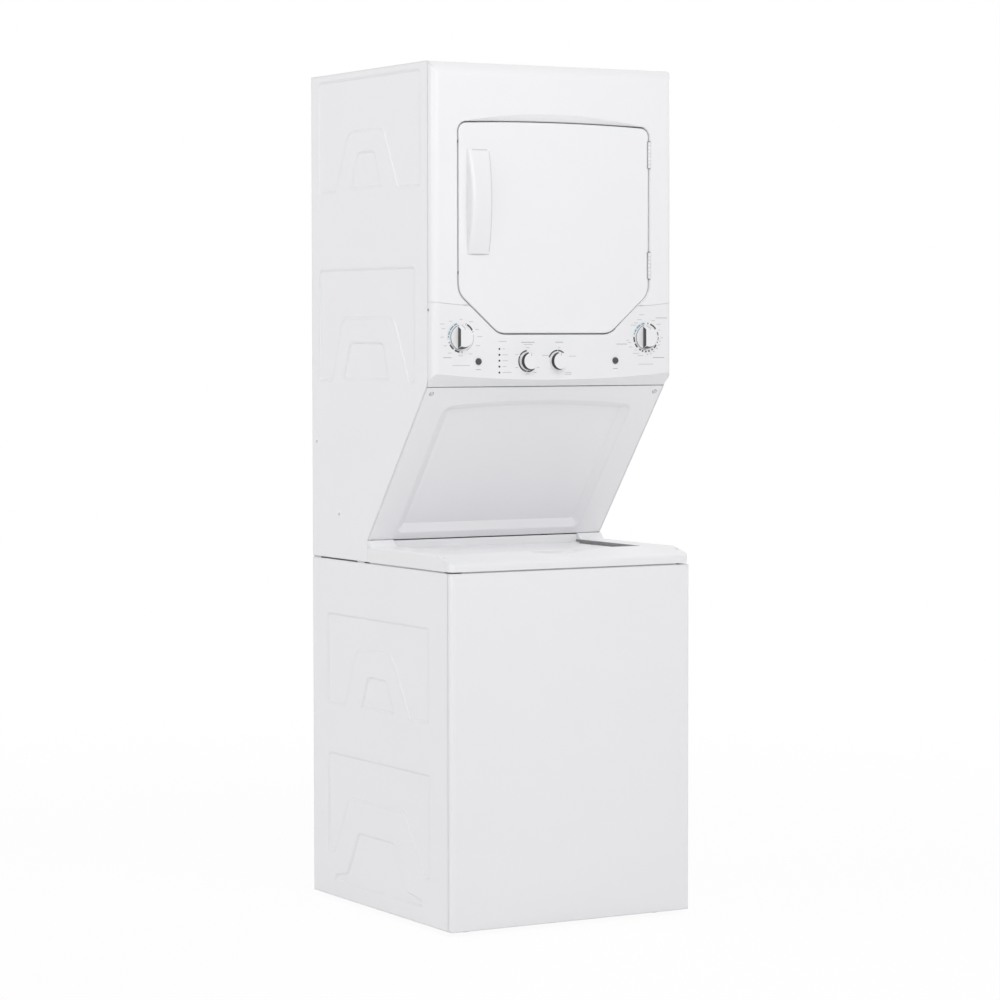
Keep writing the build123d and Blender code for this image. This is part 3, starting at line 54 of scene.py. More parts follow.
# finishes
# colour and tint mix over patches of the given size, rough is a low and a high value, bump is a depth in mm
finishLooks = {
    "cabinet_enamel": {
        "colour": (0.905, 0.903, 0.920), "tint": (0.894, 0.892, 0.910), "patch": 160,
        "rough": (0.29, 0.33), "grain": 2.4, "bump": 0.010, "soft": 4.0,
    },
    "white_plastic": {
        "colour": (0.885, 0.885, 0.898), "tint": (0.872, 0.872, 0.885), "patch": 60,
        "rough": (0.34, 0.44), "grain": 0.9, "bump": 0.012,
    },
    "dark_plastic": {
        "colour": (0.055, 0.056, 0.060), "tint": (0.075, 0.076, 0.080), "patch": 12,
        "rough": (0.38, 0.52), "grain": 0.6, "bump": 0.015,
    },
    "galvanised_steel": {
        "colour": (0.60, 0.61, 0.62), "tint": (0.46, 0.47, 0.49), "patch": 14,
        "rough": (0.30, 0.48), "grain": 5, "bump": 0.02, "metal": 1, "pattern": "spangle",
    },
    "stainless": {
        "colour": (0.66, 0.66, 0.65), "tint": (0.58, 0.58, 0.575), "patch": 25,
        "rough": (0.20, 0.34), "grain": 1.5, "bump": 0.01, "metal": 1, "pattern": "brushed",
    },
    "drum_enamel": {
        "colour": (0.70, 0.71, 0.71), "tint": (0.64, 0.65, 0.655), "patch": 30,
        "rough": (0.28, 0.42), "grain": 1.6, "bump": 0.02,
    },
    "tub_plastic": {
        "colour": (0.62, 0.64, 0.66), "tint": (0.57, 0.59, 0.615), "patch": 70,
        "rough": (0.40, 0.55), "grain": 1.2, "bump": 0.02,
    },
    "black_rubber": {
        "colour": (0.022, 0.022, 0.023), "tint": (0.034, 0.034, 0.034), "patch": 10,
        "rough": (0.62, 0.80), "grain": 0.8, "bump": 0.04,
    },
    "grey_felt": {
        "colour": (0.26, 0.26, 0.265), "tint": (0.34, 0.34, 0.34), "patch": 3,
        "rough": (0.88, 0.98), "grain": 0.7, "bump": 0.25,
    },
    "machined_steel": {
        "colour": (0.52, 0.52, 0.53), "tint": (0.44, 0.44, 0.45), "patch": 6,
        "rough": (0.24, 0.38), "grain": 0.8, "bump": 0.01, "metal": 1, "pattern": "brushed",
    },
    "cast_alloy": {
        "colour": (0.48, 0.48, 0.49), "tint": (0.40, 0.40, 0.41), "patch": 10,
        "rough": (0.48, 0.66), "grain": 1.4, "bump": 0.08, "metal": 1,
    },
    "motor_paint": {
        "colour": (0.075, 0.085, 0.095), "tint": (0.10, 0.11, 0.12), "patch": 25,
        "rough": (0.40, 0.55), "grain": 1.2, "bump": 0.03,
    },
    "brass": {
        "colour": (0.72, 0.50, 0.20), "tint": (0.60, 0.41, 0.17), "patch": 6,
        "rough": (0.28, 0.44), "grain": 0.8, "bump": 0.01, "metal": 1,
    },
    "light_lens": {
        "colour": (0.030, 0.030, 0.033), "tint": (0.045, 0.040, 0.042), "patch": 2,
        "rough": (0.12, 0.22), "grain": 0.5, "bump": 0.004,
    },
}
printInk = {"patch": 3, "rough": (0.42, 0.52), "grain": 0.5, "bump": 0.004}
printLooks = {
    "printDark": {"colour": (0.045, 0.046, 0.050), "tint": (0.07, 0.07, 0.075), **printInk},
    # this grey is print, and also paints shade and shadow at the hinges, round the access screws and under
    # the handle's foot
    "printGrey": {"colour": (0.35, 0.35, 0.365), "tint": (0.42, 0.42, 0.43), **printInk},
    "printPale": {"colour": (0.53, 0.53, 0.545), "tint": (0.59, 0.59, 0.60), **printInk},
    "printBlue": {"colour": (0.71, 0.81, 0.88), "tint": (0.74, 0.83, 0.89), **printInk},
    "printSlate": {"colour": (0.17, 0.23, 0.28), "tint": (0.22, 0.28, 0.33), **printInk},
    "knobShade": {
        "colour": (0.050, 0.049, 0.052), "tint": (0.065, 0.064, 0.068), "patch": 6,
        "rough": (0.36, 0.48), "grain": 0.6, "bump": 0.010,
    },
    "holeShade": {
        "colour": (0.020, 0.020, 0.021), "tint": (0.03, 0.03, 0.03), "patch": 4,
        "rough": (0.6, 0.8), "grain": 1, "bump": 0.01,
    },
    "screwZinc": {
        "colour": (0.42, 0.42, 0.43), "tint": (0.34, 0.34, 0.36), "patch": 4,
        "rough": (0.30, 0.45), "grain": 0.5, "bump": 0.01, "metal": 1,
    },
}


def addNode(tree, kind, values=None, **settings):
    node = tree.nodes.new(kind)
    for key, value in settings.items():
        setattr(node, key, value)
    for socket, value in (values or {}).items():
        node.inputs[socket].default_value = value
    return node


def makeFinish(name, look):
    material = bpy.data.materials.new(name)
    material.use_nodes = True
    tree = material.node_tree
    link = tree.links.new
    shader = tree.nodes["Principled BSDF"]
    shader.inputs["Metallic"].default_value = look.get("metal", 0)
    place = addNode(tree, "ShaderNodeTexCoord")
    stretch = addNode(tree, "ShaderNodeMapping")
    if look.get("pattern") == "brushed":
        stretch.inputs["Scale"].default_value = (1, 1, 14)  # fine lines run round the piece
    link(place.outputs["Object"], stretch.inputs["Vector"])
    patchScale, grainScale = 1 / (look["patch"] * mm), 1 / (look["grain"] * mm)
    if look.get("pattern") == "spangle":
        patches = addNode(tree, "ShaderNodeTexVoronoi", {"Scale": patchScale})
        patchValue = patches.outputs["Color"]
    else:
        patches = addNode(tree, "ShaderNodeTexNoise", {"Scale": patchScale, "Detail": 3})
        patchValue = patches.outputs["Fac"]
    link(stretch.outputs["Vector"], patches.inputs["Vector"])
    colours = {"A": (*look["colour"], 1), "B": (*look["tint"], 1)}
    colour = addNode(tree, "ShaderNodeMix", colours, data_type="RGBA")
    link(patchValue, colour.inputs["Factor"])
    link(colour.outputs["Result"], shader.inputs["Base Color"])
    grain = addNode(tree, "ShaderNodeTexNoise", {"Scale": grainScale, "Detail": 2})
    link(stretch.outputs["Vector"], grain.inputs["Vector"])
    roughSpan = {"From Min": 0.3, "From Max": 0.7, "To Min": look["rough"][0], "To Max": look["rough"][1]}
    rough = addNode(tree, "ShaderNodeMapRange", roughSpan)
    link(patchValue, rough.inputs["Value"])
    link(rough.outputs["Result"], shader.inputs["Roughness"])
    bump = addNode(tree, "ShaderNodeBump", {"Strength": 1, "Distance": look["bump"] * mm})
    link(grain.outputs["Fac"], bump.inputs["Height"])
    if "soft" in look:  # pressed steps and folded edges read as rounded
        soften = addNode(tree, "ShaderNodeBevel", {"Radius": look["soft"] * mm}, samples=6)
        link(soften.outputs["Normal"], bump.inputs["Normal"])
    link(bump.outputs["Normal"], shader.inputs["Normal"])
    return material


finishes = {name: makeFinish(name, look) for name, look in {**finishLooks, **printLooks}.items()}
slotOf = {part["node"]: part["material_slot"] for part in frame["record"]["subparts"]}
for nodeName, node in frame["nodes"].items():
    node.data.materials.clear()
    node.data.materials.append(finishes[slotOf[nodeName]])
print("finishes made,", len(finishes))


# making pieces, in millimetres
def makeMesh(name, shape, crease):
    bmesh.ops.recalc_face_normals(shape, faces=shape.faces)
    bmesh.ops.scale(shape, vec=(mm, mm, mm), verts=shape.verts)
    mesh = bpy.data.meshes.new(name)
    shape.to_mesh(mesh)
    shape.free()
    mesh.shade_smooth()
    mesh.set_sharp_from_angle(angle=radians(crease))
    return mesh


def addObject(name, data):
    item = bpy.data.objects.new(name, data)
    bpy.context.scene.collection.objects.link(item)
    return item


def addPiece(name, mesh, body):
    piece = addObject(name, mesh)
    if body:
        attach(piece, body)
    return piece


def finishPiece(name, shape, body, finish, crease=35):
    bmesh.ops.remove_doubles(shape, verts=shape.verts, dist=0.0005)
    mesh = makeMesh(name, shape, crease)
    mesh.materials.append(finishes[finish])
    return addPiece(name, mesh, body)


def skinRows(shape, rows):  # a closed skin over rows of points, with its ends filled
    rings = [[shape.verts.new(point) for point in row] for row in rows]
    for near, far in zip(rings, rings[1:]):
        for i in range(len(near)):
            j = (i + 1) % len(near)
            shape.faces.new((near[i], near[j], far[j], far[i]))
    shape.faces.new(rings[0])
    shape.faces.new(rings[-1][::-1])


def prism(shape, outline, near, far):  # a closed plate from an outline of (x, z), between two depths along y
    skinRows(shape, [[(x, y, z) for x, z in outline] for y in (near, far)])


def arcOutline(centre, inner, outer, start, end):
    steps = max(2, round(abs(end - start) / 5))
    turns = [radians(start + (end - start) * i / steps) for i in range(steps + 1)]
    far = [(centre[0] + outer * cos(a), centre[1] + outer * sin(a)) for a in turns]
    near = [(centre[0] + inner * cos(a), centre[1] + inner * sin(a)) for a in turns]
    return far + near[::-1]


def barOutline(centre, width, height):
    x, z = centre
    right, high = width / 2, height / 2
    return [(x - right, z - high), (x + right, z - high), (x + right, z + high), (x - right, z + high)]


def spin(shape, profile, steps, axis=(0, 0, 1), centre=(0, 0, 0), start=0, end=360):
    # turns a closed profile of (radius, height) points about an axis through centre
    turn = Vector((0, 0, 1)).rotation_difference(Vector(axis)).to_matrix()
    whole = abs(end - start) >= 360
    count = steps if whole else steps + 1
    rows = []
    for i in range(count):
        angle = radians(start + (end - start) * i / steps)
        ring = profile(degrees(angle)) if callable(profile) else profile
        points = [turn @ Vector((r * cos(angle), r * sin(angle), h)) + Vector(centre) for r, h in ring]
        rows.append([shape.verts.new(point) for point in points])
    size = len(rows[0])
    for i in range(steps):
        near, far = rows[i], rows[(i + 1) % count]
        for j in range(size):
            k = (j + 1) % size
            shape.faces.new((near[j], far[j], far[k], near[k]))
    if not whole:
        shape.faces.new(rows[0])
        shape.faces.new(rows[-1][::-1])


# repeats on points, for screws, holes, threads and ribs
def makeRepeatTree():
    tree = bpy.data.node_groups.new("repeatOnPoints", "GeometryNodeTree")
    sockets = {}
    kinds = {"Points": "Geometry", "Shape": "Object", "Size": "Float", "Finish": "Material"}
    for title, kind in kinds.items():
        sockets[title] = tree.interface.new_socket(title, in_out="INPUT", socket_type="NodeSocket" + kind)
    tree.interface.new_socket("Geometry", in_out="OUTPUT", socket_type="NodeSocketGeometry")
    given = addNode(tree, "NodeGroupInput")
    attribute = "GeometryNodeInputNamedAttribute"
    facing = addNode(tree, attribute, {"Name": "facing"}, data_type="FLOAT_VECTOR")
    upright = addNode(tree, attribute, {"Name": "upright"}, data_type="FLOAT_VECTOR")
    stand = addNode(tree, "FunctionNodeAlignRotationToVector", axis="Z")
    swing = addNode(tree, "FunctionNodeAlignRotationToVector", axis="X", pivot_axis="Z")
    master = addNode(tree, "GeometryNodeObjectInfo", transform_space="ORIGINAL")
    place = addNode(tree, "GeometryNodeInstanceOnPoints")
    real = addNode(tree, "GeometryNodeRealizeInstances")
    paint = addNode(tree, "GeometryNodeSetMaterial")
    result = addNode(tree, "NodeGroupOutput")
    link = tree.links.new
    link(given.outputs["Points"], place.inputs["Points"])
    link(given.outputs["Shape"], master.inputs["Object"])
    link(master.outputs["Geometry"], place.inputs["Instance"])
    link(facing.outputs["Attribute"], stand.inputs["Vector"])
    link(stand.outputs["Rotation"], swing.inputs["Rotation"])
    link(upright.outputs["Attribute"], swing.inputs["Vector"])
    link(swing.outputs["Rotation"], place.inputs["Rotation"])
    link(given.outputs["Size"], place.inputs["Scale"])
    link(place.outputs["Instances"], real.inputs["Geometry"])
    link(real.outputs["Geometry"], paint.inputs["Geometry"])
    link(given.outputs["Finish"], paint.inputs["Material"])
    link(paint.outputs["Geometry"], result.inputs["Geometry"])
    return tree, sockets


repeatTree, repeatSockets = makeRepeatTree()


def repeatPiece(name, master, spots, body, finish, size=1.0):
    # spots are (place, facing, upright) in mm: the master's Z points along facing and its X along upright
    masterObject = bpy.data.objects.new(name + "Master", makeMesh(name + "Master", master, 35))
    points = bpy.data.meshes.new(name + "Points")
    points.from_pydata([Vector(place) * mm for place, facing, upright in spots], [], [])
    for title, pick in (("facing", 1), ("upright", 2)):
        layer = points.attributes.new(title, "FLOAT_VECTOR", "POINT")
        for i, spot in enumerate(spots):
            layer.data[i].vector = spot[pick]
    holder = addObject(name + "Points", points)
    repeat = holder.modifiers.new("repeat", "NODES")
    repeat.node_group = repeatTree
    repeat[repeatSockets["Shape"].identifier] = masterObject
    repeat[repeatSockets["Size"].identifier] = size
    repeat[repeatSockets["Finish"].identifier] = finishes[finish]
    evaluated = holder.evaluated_get(bpy.context.evaluated_depsgraph_get())
    mesh = bpy.data.meshes.new_from_object(evaluated)
    mesh.name = name
    holder.modifiers.remove(repeat)
    bpy.data.objects.remove(holder)
    bpy.data.objects.remove(masterObject)
    addPiece(name, mesh, body)


def rearSpot(x, y, z):  # a place for a repeat that faces the back
    return (x, y, z), (0, 1, 0), (1, 0, 0)


# printing on the control panel
panel = {
    "face": -263.0,
    "thickness": 0.1,
    "cycleRing": (29.3, 32.9),
    "thinRing": (30.0, 31.5),
    "blueRing": (28.4, 35.2),
    "slateRing": (29.8, 32.3),
    "selectorRing": (21.1, 24.1),
    "washerDial": (-233.7, 1277.0),
    "dryerDial": (233.7, 1276.5),
    "temperatureDial": (-68.5, 1226.0),
    "optionDial": (6.6, 1226.0),
    "washerDashes": [(67, 69), (30, 62), (22, 24), (199, 202), (209, 233), (240, 262), (272, 275)],
    "washerThin": [(-64, 12)],
    "washerBlue": [(106, 188)],
    "washerSlate": [(110, 124), (128, 150), (155, 170), (174, 180)],
    "dryerDashes": [
        (79, 83), (36, 69), (7, 21), (-12, 2), (-22, -18), (-48, -32), (-62, -56), (-79, -72), (-94, -87),
        (-110, -103), (-124, -116), (206, 224), (178, 199),
    ],
    "dryerBlue": [(94, 172)],
    "dryerSlate": [(98, 112), (118, 140), (146, 158), (162, 167)],
    "temperatureDashes": [(97, 148), (152, 262), (266, 316)],
    "optionDashes": [(48, 88), (92, 160)],
}
# short bars beside the dials: dx, dz from the dial, and width
legendBars = {
    "height": 1.3,
    "washerDial": {
        "printPale": [
            (-46, 29, 11), (-43, 19, 9), (-46, 1, 8), (-39, -17.5, 8), (-28, -33, 9), (-1, -39, 11),
            (23, -35, 9), (41.5, -17.5, 11), (46, 2, 12), (39, 17.5, 9), (24.5, 34, 10), (-25.5, 35, 8),
            (0, 39, 8), (0, -60, 42),
        ],
        "printGrey": [(-34, -43, 20)],
    },
    "dryerDial": {
        "printPale": [
            (-11, 50, 14), (-17, 39, 12), (-26, 32, 11), (-33, 27, 13), (-47, -6, 8), (-43, -11, 9),
            (-40, -21, 9), (-27, -28, 6), (-26, -35, 16), (-14, -40, 14), (41, -1, 7), (35, 16, 6),
            (33, 29, 11), (19, 37, 9), (0, -59, 38),
        ],
        "printGrey": [(-63, -14.5, 27), (40, 43, 30), (33, -44.5, 30)],
    },
    "temperatureDial": {
        "printPale": [
            (1, 36, 22), (0, 29, 10), (-28, 14, 7), (-28, -14, 7), (-1, -28, 10), (18, -25, 8), (26, -14, 7),
        ],
        "printGrey": [(0, 40.5, 34)],
    },
    "optionDial": {
        "printPale": [(4, 29, 5), (-30.5, 12, 17), (38, 10, 19), (27, -26, 16), (27, -29.5, 16)],
        "printGrey": [(4, 40.5, 20)],
    },
}
lightLegend = {
    "x": -139.6, "low": 1201.5, "pitch": 12.7, "widths": (22, 9, 13, 13, 6), "gap": 8,
    "heading": (1268.5, 20),
}
startLegend = {"places": ((-191.3, 1225.5), (154.0, 1226.0)), "drop": 17.5, "width": 12}


def printArcs(shape, title, kind, ring, lift=0.0):  # one kind of arcs round a dial
    face = panel["face"] - lift
    for start, end in panel[title + kind]:
        outline = arcOutline(panel[title + "Dial"], *panel[ring], start, end)
        prism(shape, outline, face, face - panel["thickness"])


def printBar(shape, x, z, width):
    face = panel["face"]
    prism(shape, barOutline((x, z), width, legendBars["height"]), face, face - panel["thickness"])


dashes = bmesh.new()
for ring, titles in (("cycleRing", ("washer", "dryer")), ("selectorRing", ("temperature", "option"))):
    for title in titles:
        printArcs(dashes, title, "Dashes", ring)
finishPiece("printedDashes", dashes, "cabinet", "printDark")
for kind, ring, lift in (("Blue", "blueRing", 0), ("Slate", "slateRing", panel["thickness"])):
    arcs = bmesh.new()
    for title in ("washer", "dryer"):
        printArcs(arcs, title, kind, ring, lift)
    finishPiece("printed" + kind, arcs, "cabinet", "print" + kind)

for tone in ("printPale", "printGrey"):
    bars = bmesh.new()
    for dial in ("washerDial", "dryerDial", "temperatureDial", "optionDial"):
        for dx, dz, width in legendBars[dial][tone]:
            printBar(bars, panel[dial][0] + dx, panel[dial][1] + dz, width)
    if tone == "printPale":
        printArcs(bars, "washer", "Thin", "thinRing")
        for i, width in enumerate(lightLegend["widths"]):
            left = lightLegend["x"] + lightLegend["gap"]
            printBar(bars, left + width / 2, lightLegend["low"] + i * lightLegend["pitch"], width)
        printBar(bars, lightLegend["x"] + lightLegend["gap"], *lightLegend["heading"])
    else:
        for x, z in startLegend["places"]:
            printBar(bars, x, z - startLegend["drop"], startLegend["width"])
    finishPiece("printedBars" + tone[5:], bars, "cabinet", tone)

# minutes on the dryer dial
dialNumbers = {
    "height": 4.2,
    "places": [(36.5, -9), (34, -17), (28.5, -24.5), (20.5, -31), (12.5, -36), (4, -38.5)],
    "first": 60, "step": -10,
}
figures = bmesh.new()
for i, (dx, dz) in enumerate(dialNumbers["places"]):
    text = bpy.data.curves.new("figure", "FONT")
    text.body = str(dialNumbers["first"] + i * dialNumbers["step"])
    text.align_x = "CENTER"
    text.align_y = "CENTER"
    text.size = dialNumbers["height"]
    text.extrude = panel["thickness"] / 2
    text.resolution_u = 3
    writer = bpy.data.objects.new("figure", text)
    flat = bpy.data.meshes.new_from_object(writer)
    x, z = panel["dryerDial"]
    place = Matrix.Translation((x + dx, panel["face"] - text.extrude, z + dz))
    flat.transform(place @ Matrix.Rotation(pi / 2, 4, "X"))
    figures.from_mesh(flat)
    bpy.data.objects.remove(writer)
    bpy.data.curves.remove(text)
    bpy.data.meshes.remove(flat)
finishPiece("printedFigures", figures, "cabinet", "printGrey")
print("panel printing made")

# painted shade on the knobs' left and lower sides, and their pointer marks, with angles in degrees
grip = {
    "cut": -9.5, "inset": 0.2, "baseRadius": 25.5, "baseHeight": 4.0, "topRadius": 20.05,
    "topHeight": 17.5, "skin": 0.15, "round": 1.0, "thinning": 1.6,
    "shadeFrom": -112, "shadeTo": -42, "shadeSteps": 18,
    "shadeLeft": 1.2,  # height of the shade where it ends
}
selector = {
    "radius": 17.6, "low": 9.0, "high": 16.5, "round": 1.2, "skin": 0.15, "shoulder": 1.55,
    "shoulderGrow": 0.4, "shoulderDrop": 2.6, "step": 0.05, "roll": 0.9, "widening": 0.6,
    "shadeFrom": 100, "shadeTo": 315, "shadeSteps": 36,
}
knobSkirt = {
    "profile": [(27.0, 3.5), (27.75, 3.5), (27.75, 4.1), (27.0, 4.15)],
    "shadeFrom": 105, "shadeTo": 265, "shadeSteps": 40,
}
# paths give radius, height and the way that the surface faces there
pointers = {
    "sunk": 0.1,
    "proud": 0.14,
    "cycleWidth": 1.3,
    "cyclePath": [
        (17, 17.5, 0, 1), (19.0, 17.5, 0, 1), (20.2, 17.1, 0.9, 0.9),
        (25.45, 4.2, 1.2, 0.8), (26.8, 4.0, 0, 1),
    ],
    "selectorWidth": 1.2,
    "selectorPath": [(11.5, 16.5, 0, 1), (16.3, 16.5, 0, 1), (17.2, 16.15, 0.7, 0.9), (17.6, 15.3, 1, 0)],
}


def dialSpin(shape, title, profile, look):  # turns a profile about a dial's own axis
    x, z = panel[title + "Dial"]
    centre = (x, panel["face"], z)
    start, end = look["shadeFrom"], look["shadeTo"]
    spin(shape, profile, look["shadeSteps"], axis=(0, -1, 0), centre=centre, start=start, end=end)


def gripSlice(low, high):  # the cone's side between two heights, as a thin skin
    def radiusAt(h):
        share = (h - grip["baseHeight"]) / (grip["topHeight"] - grip["baseHeight"])
        return grip["baseRadius"] + (grip["topRadius"] - grip["baseRadius"]) * share
    skin = grip["skin"]
    foot, top = radiusAt(low), radiusAt(high)
    return [(foot - skin, low), (foot + skin, low), (top + skin, high), (top - skin, high)]


# painted shade on the grip's cut wall and on the lower side of its cone
def gripShade(title, body):
    x, z = panel[title + "Dial"]
    shade = bmesh.new()
    low, high = grip["baseHeight"], grip["topHeight"] - grip["round"]
    baseHalf = (grip["baseRadius"] ** 2 - grip["cut"] ** 2) ** 0.5
    topHalf = (grip["topRadius"] ** 2 - grip["cut"] ** 2) ** 0.5
    corners = [(-baseHalf, low), (baseHalf, low), (topHalf, high), (-topHalf, high)]
    rows = []
    for side in (grip["inset"], -grip["skin"]):
        rows.append([(x + grip["cut"] + side, panel["face"] - h, z + dz) for dz, h in corners])
    skinRows(shade, rows)

    def thinning(angle):  # the shaded side narrows towards the right
        share = (angle - grip["shadeFrom"]) / (grip["shadeTo"] - grip["shadeFrom"])
        share = min(1.0, max(0.0, share)) ** grip["thinning"]
        return gripSlice(low + (high - low - grip["shadeLeft"]) * share, high)
    dialSpin(shade, title, thinning, grip)
    finishPiece(title + "GripShade", shade, body, "knobShade")


# painted shade on the selector cap's wall and shoulder, widest on the lower left
def capShade(title, body):
    shade = bmesh.new()
    r, skin = selector["radius"], selector["skin"]
    low, high, step = selector["low"], selector["high"], selector["step"]

    def crescent(angle):  # widest on the lower left
        turned = (angle - selector["shadeFrom"]) / (selector["shadeTo"] - selector["shadeFrom"])
        share = max(0.0, sin(pi * turned)) ** selector["widening"]
        over = selector["round"] * share
        edge = high - selector["round"]
        foot = low - selector["shoulderDrop"] * share
        wide = r + selector["shoulder"]
        shoulder = [(r - skin, foot), (wide + selector["shoulderGrow"] * share, foot), (wide, low + step)]
        wall = [(r + skin, low + 2 * step), (r + skin, edge)]
        top = [(r + skin - over, edge + over), (r - 2 * skin - over, edge + over * selector["roll"])]
        return shoulder + wall + top
    dialSpin(shade, title, crescent, selector)
    finishPiece(title + "CapShade", shade, body, "knobShade")


# a painted shade line along the skirt's rim, on the left
def skirtShadeLine(title, body):  # the skirt's shaded rim, on the left
    line = bmesh.new()
    dialSpin(line, title, knobSkirt["profile"], knobSkirt)
    finishPiece(title + "SkirtLine", line, body, "knobShade")


def pointerMark(title, body, kind):  # a raised line at twelve o'clock
    x, z = panel[title + "Dial"]
    half, low, high = pointers[kind + "Width"] / 2, -pointers["sunk"], pointers["proud"]
    corners = ((-half, low), (half, low), (half, high), (-half, high))
    rows = []
    for r, h, outward, up in pointers[kind + "Path"]:
        face = panel["face"] - h
        rows.append([(x + side, face - lift * up, z + r + lift * outward) for side, lift in corners])
    mark = bmesh.new()
    skinRows(mark, rows)
    finishPiece(title + "Pointer", mark, body, "printGrey")


for title in ("washer", "dryer"):
    body = title + "_knob"
    gripShade(title, body)
    skirtShadeLine(title, body)
    pointerMark(title, body, "cycle")
for title in ("temperature", "option"):
    capShade(title, title)
    pointerMark(title, title, "selector")
print("knob details made")

# screw heads
crossSlot = {
    "rings": [(4.4, 0.0), (4.4, 0.5), (3.9, 1.3), (2.7, 1.9)], "sides": 16, "arm": 2.0,
    "half": 0.45, "top": 2.05, "floor": 0.8, "taper": 0.8,
}


def crossHead():
    head = bmesh.new()
    sides = crossSlot["sides"]
    turns = [2 * pi * i / sides for i in range(sides)]
    rows = [[head.verts.new((r * cos(a), r * sin(a), h)) for a in turns] for r, h in crossSlot["rings"]]
    for near, far in zip(rows, rows[1:]):
        for i in range(sides):
            head.faces.new((near[i], near[(i + 1) % sides], far[(i + 1) % sides], far[i]))
    head.faces.new(rows[0][::-1])
    arm, half = crossSlot["arm"], crossSlot["half"]
    quarter = [(half, -arm), (half, -half), (arm, -half)]
    cross = []
    for i in range(4):
        cross += quarter
        quarter = [(-y, x) for x, y in quarter]
    count = len(cross)
    rim = [head.verts.new((x, y, crossSlot["top"])) for x, y in cross]
    taper = crossSlot["taper"]
    well = [head.verts.new((x * taper, y * taper, crossSlot["floor"])) for x, y in cross]
    for i in range(count):
        head.faces.new((rim[(i + 1) % count], rim[i], well[i], well[(i + 1) % count]))
    head.faces.new(well)
    edges = [head.edges.get((rows[-1][i], rows[-1][(i + 1) % sides])) for i in range(sides)]
    edges += [head.edges.get((rim[i], rim[(i + 1) % count])) for i in range(count)]
    bmesh.ops.bridge_loops(head, edges=edges)
    return head


hexScrew = {
    "flange": [(0.01, 0), (5.2, 0), (5.2, 0.5), (4.6, 1.0), (0.01, 1.0)],
    "head": [(0.01, 1.0), (3.9, 1.0), (3.9, 3.2), (3.3, 3.7), (0.01, 3.4)],
}


def hexHead():
    head = bmesh.new()
    spin(head, hexScrew["flange"], 16)
    spin(head, hexScrew["head"], 6)
    bmesh.ops.remove_doubles(head, verts=head.verts, dist=0.05)
    return head


screws = {
    "access": {"x": 283, "y": -220.3, "z": 1156.3, "facing": (0, -0.7789, -0.6272)},
    "side": [(291, 1041), (182, 880)],
    "corner": [(-241, 1336)],
    "washerRear": {"x": 288, "low": 60, "high": 745, "count": 5},
    "dryerRear": {"x": 288, "low": 800, "high": 1846, "count": 7},
    "topRow": {"z": 1846, "xs": (-190, -64, 64, 190)},
    "rearFace": 313.0,
    "sideFace": 301.5,
    "seat": [(4.2, 0), (5.7, 0), (5.5, 0.35), (4.2, 0.4)],
    "sizes": {"access": 0.95, "side": 0.8, "corner": 0.75},
}
screwSizes = screws["sizes"]
front = screws["access"]
frontSpots = [((side * front["x"], front["y"], front["z"]), front["facing"], (1, 0, 0)) for side in (-1, 1)]
paint = "cabinet_enamel"
repeatPiece("accessScrews", crossHead(), frontSpots, "cabinet", paint, screwSizes["access"])
# grey rings round the access screw heads paint the shadow round them
seat = bmesh.new()
spin(seat, screws["seat"], 20)
repeatPiece("accessScrewSeats", seat, frontSpots, "cabinet", "printGrey")


def sideSpots(places):
    x = screws["sideFace"]
    return [((side * x, y, z), (side, 0, 0), (0, 1, 0)) for side in (-1, 1) for y, z in places]


panelSpots, cornerSpots = sideSpots(screws["side"]), sideSpots(screws["corner"])
repeatPiece("sideScrews", crossHead(), panelSpots, "cabinet", paint, screwSizes["side"])
size = screwSizes["corner"]
repeatPiece("cornerScrews", crossHead(), cornerSpots, "cabinet", "printGrey", size)
rearPlaces = []
for group in ("washerRear", "dryerRear"):
    spread = screws[group]
    for i in range(spread["count"]):
        z = spread["low"] + (spread["high"] - spread["low"]) * i / (spread["count"] - 1)
        rearPlaces += [(side * spread["x"], z) for side in (-1, 1)]
rearPlaces += [(x, screws["topRow"]["z"]) for x in screws["topRow"]["xs"]]
rearSpots = [rearSpot(x, screws["rearFace"], z) for x, z in rearPlaces]
repeatPiece("rearScrews", hexHead(), rearSpots, "cabinet", "screwZinc")
print("screws made,", len(frontSpots + panelSpots + cornerSpots + rearSpots))

# painted flanges that show in the seams of the dryer front
seams = {
    "face": -263.0, "side": 301.5, "edge": 14.0, "depth": 0.35, "thick": 0.4, "half": 3.0,
    "foot": 1346.0, "end": 1352.0, "tail": 9.0, "door": 241.0, "inner": 226.0, "sideY": -238.6,
    "sideHalf": 2.5, "low": 1185.0, "high": 1850.0,
}
flanges = bmesh.new()
outer, inner = seams["depth"], seams["depth"] + seams["thick"]
corners = ((outer, -seams["half"]), (outer, seams["half"]), (inner, seams["half"]), (inner, -seams["half"]))
fold = seams["side"] - seams["edge"]
route = [(seams["inner"], 0), (seams["door"], 0), (fold, 0)]
for turn in range(15, 91, 15):
    route.append((fold + seams["edge"] * sin(radians(turn)), seams["edge"] * (1 - cos(radians(turn)))))
route.append((seams["side"], seams["edge"] + seams["tail"]))
for side in (-1, 1):
    rows = []
    for x, back in route:
        rise = max(0.0, x - seams["door"]) / (seams["side"] - seams["door"])
        z = seams["foot"] + (seams["end"] - seams["foot"]) * rise
        turn = min(1.0, back / seams["edge"]) * pi / 2
        out = Vector((sin(turn), -cos(turn)))
        row = []
        for sunk, up in corners:
            row.append((side * (x - out.x * sunk), seams["face"] + back - out.y * sunk, z + up))
        rows.append(row)
    skinRows(flanges, rows)
    x = side * (seams["side"] - (outer + inner) / 2)
    z = (seams["low"] + seams["high"]) / 2
    strip = barOutline((x, z), seams["thick"], seams["high"] - seams["low"])
    prism(flanges, strip, seams["sideY"] - seams["sideHalf"], seams["sideY"] + seams["sideHalf"])
finishPiece("seamFlanges", flanges, "cabinet", paint)

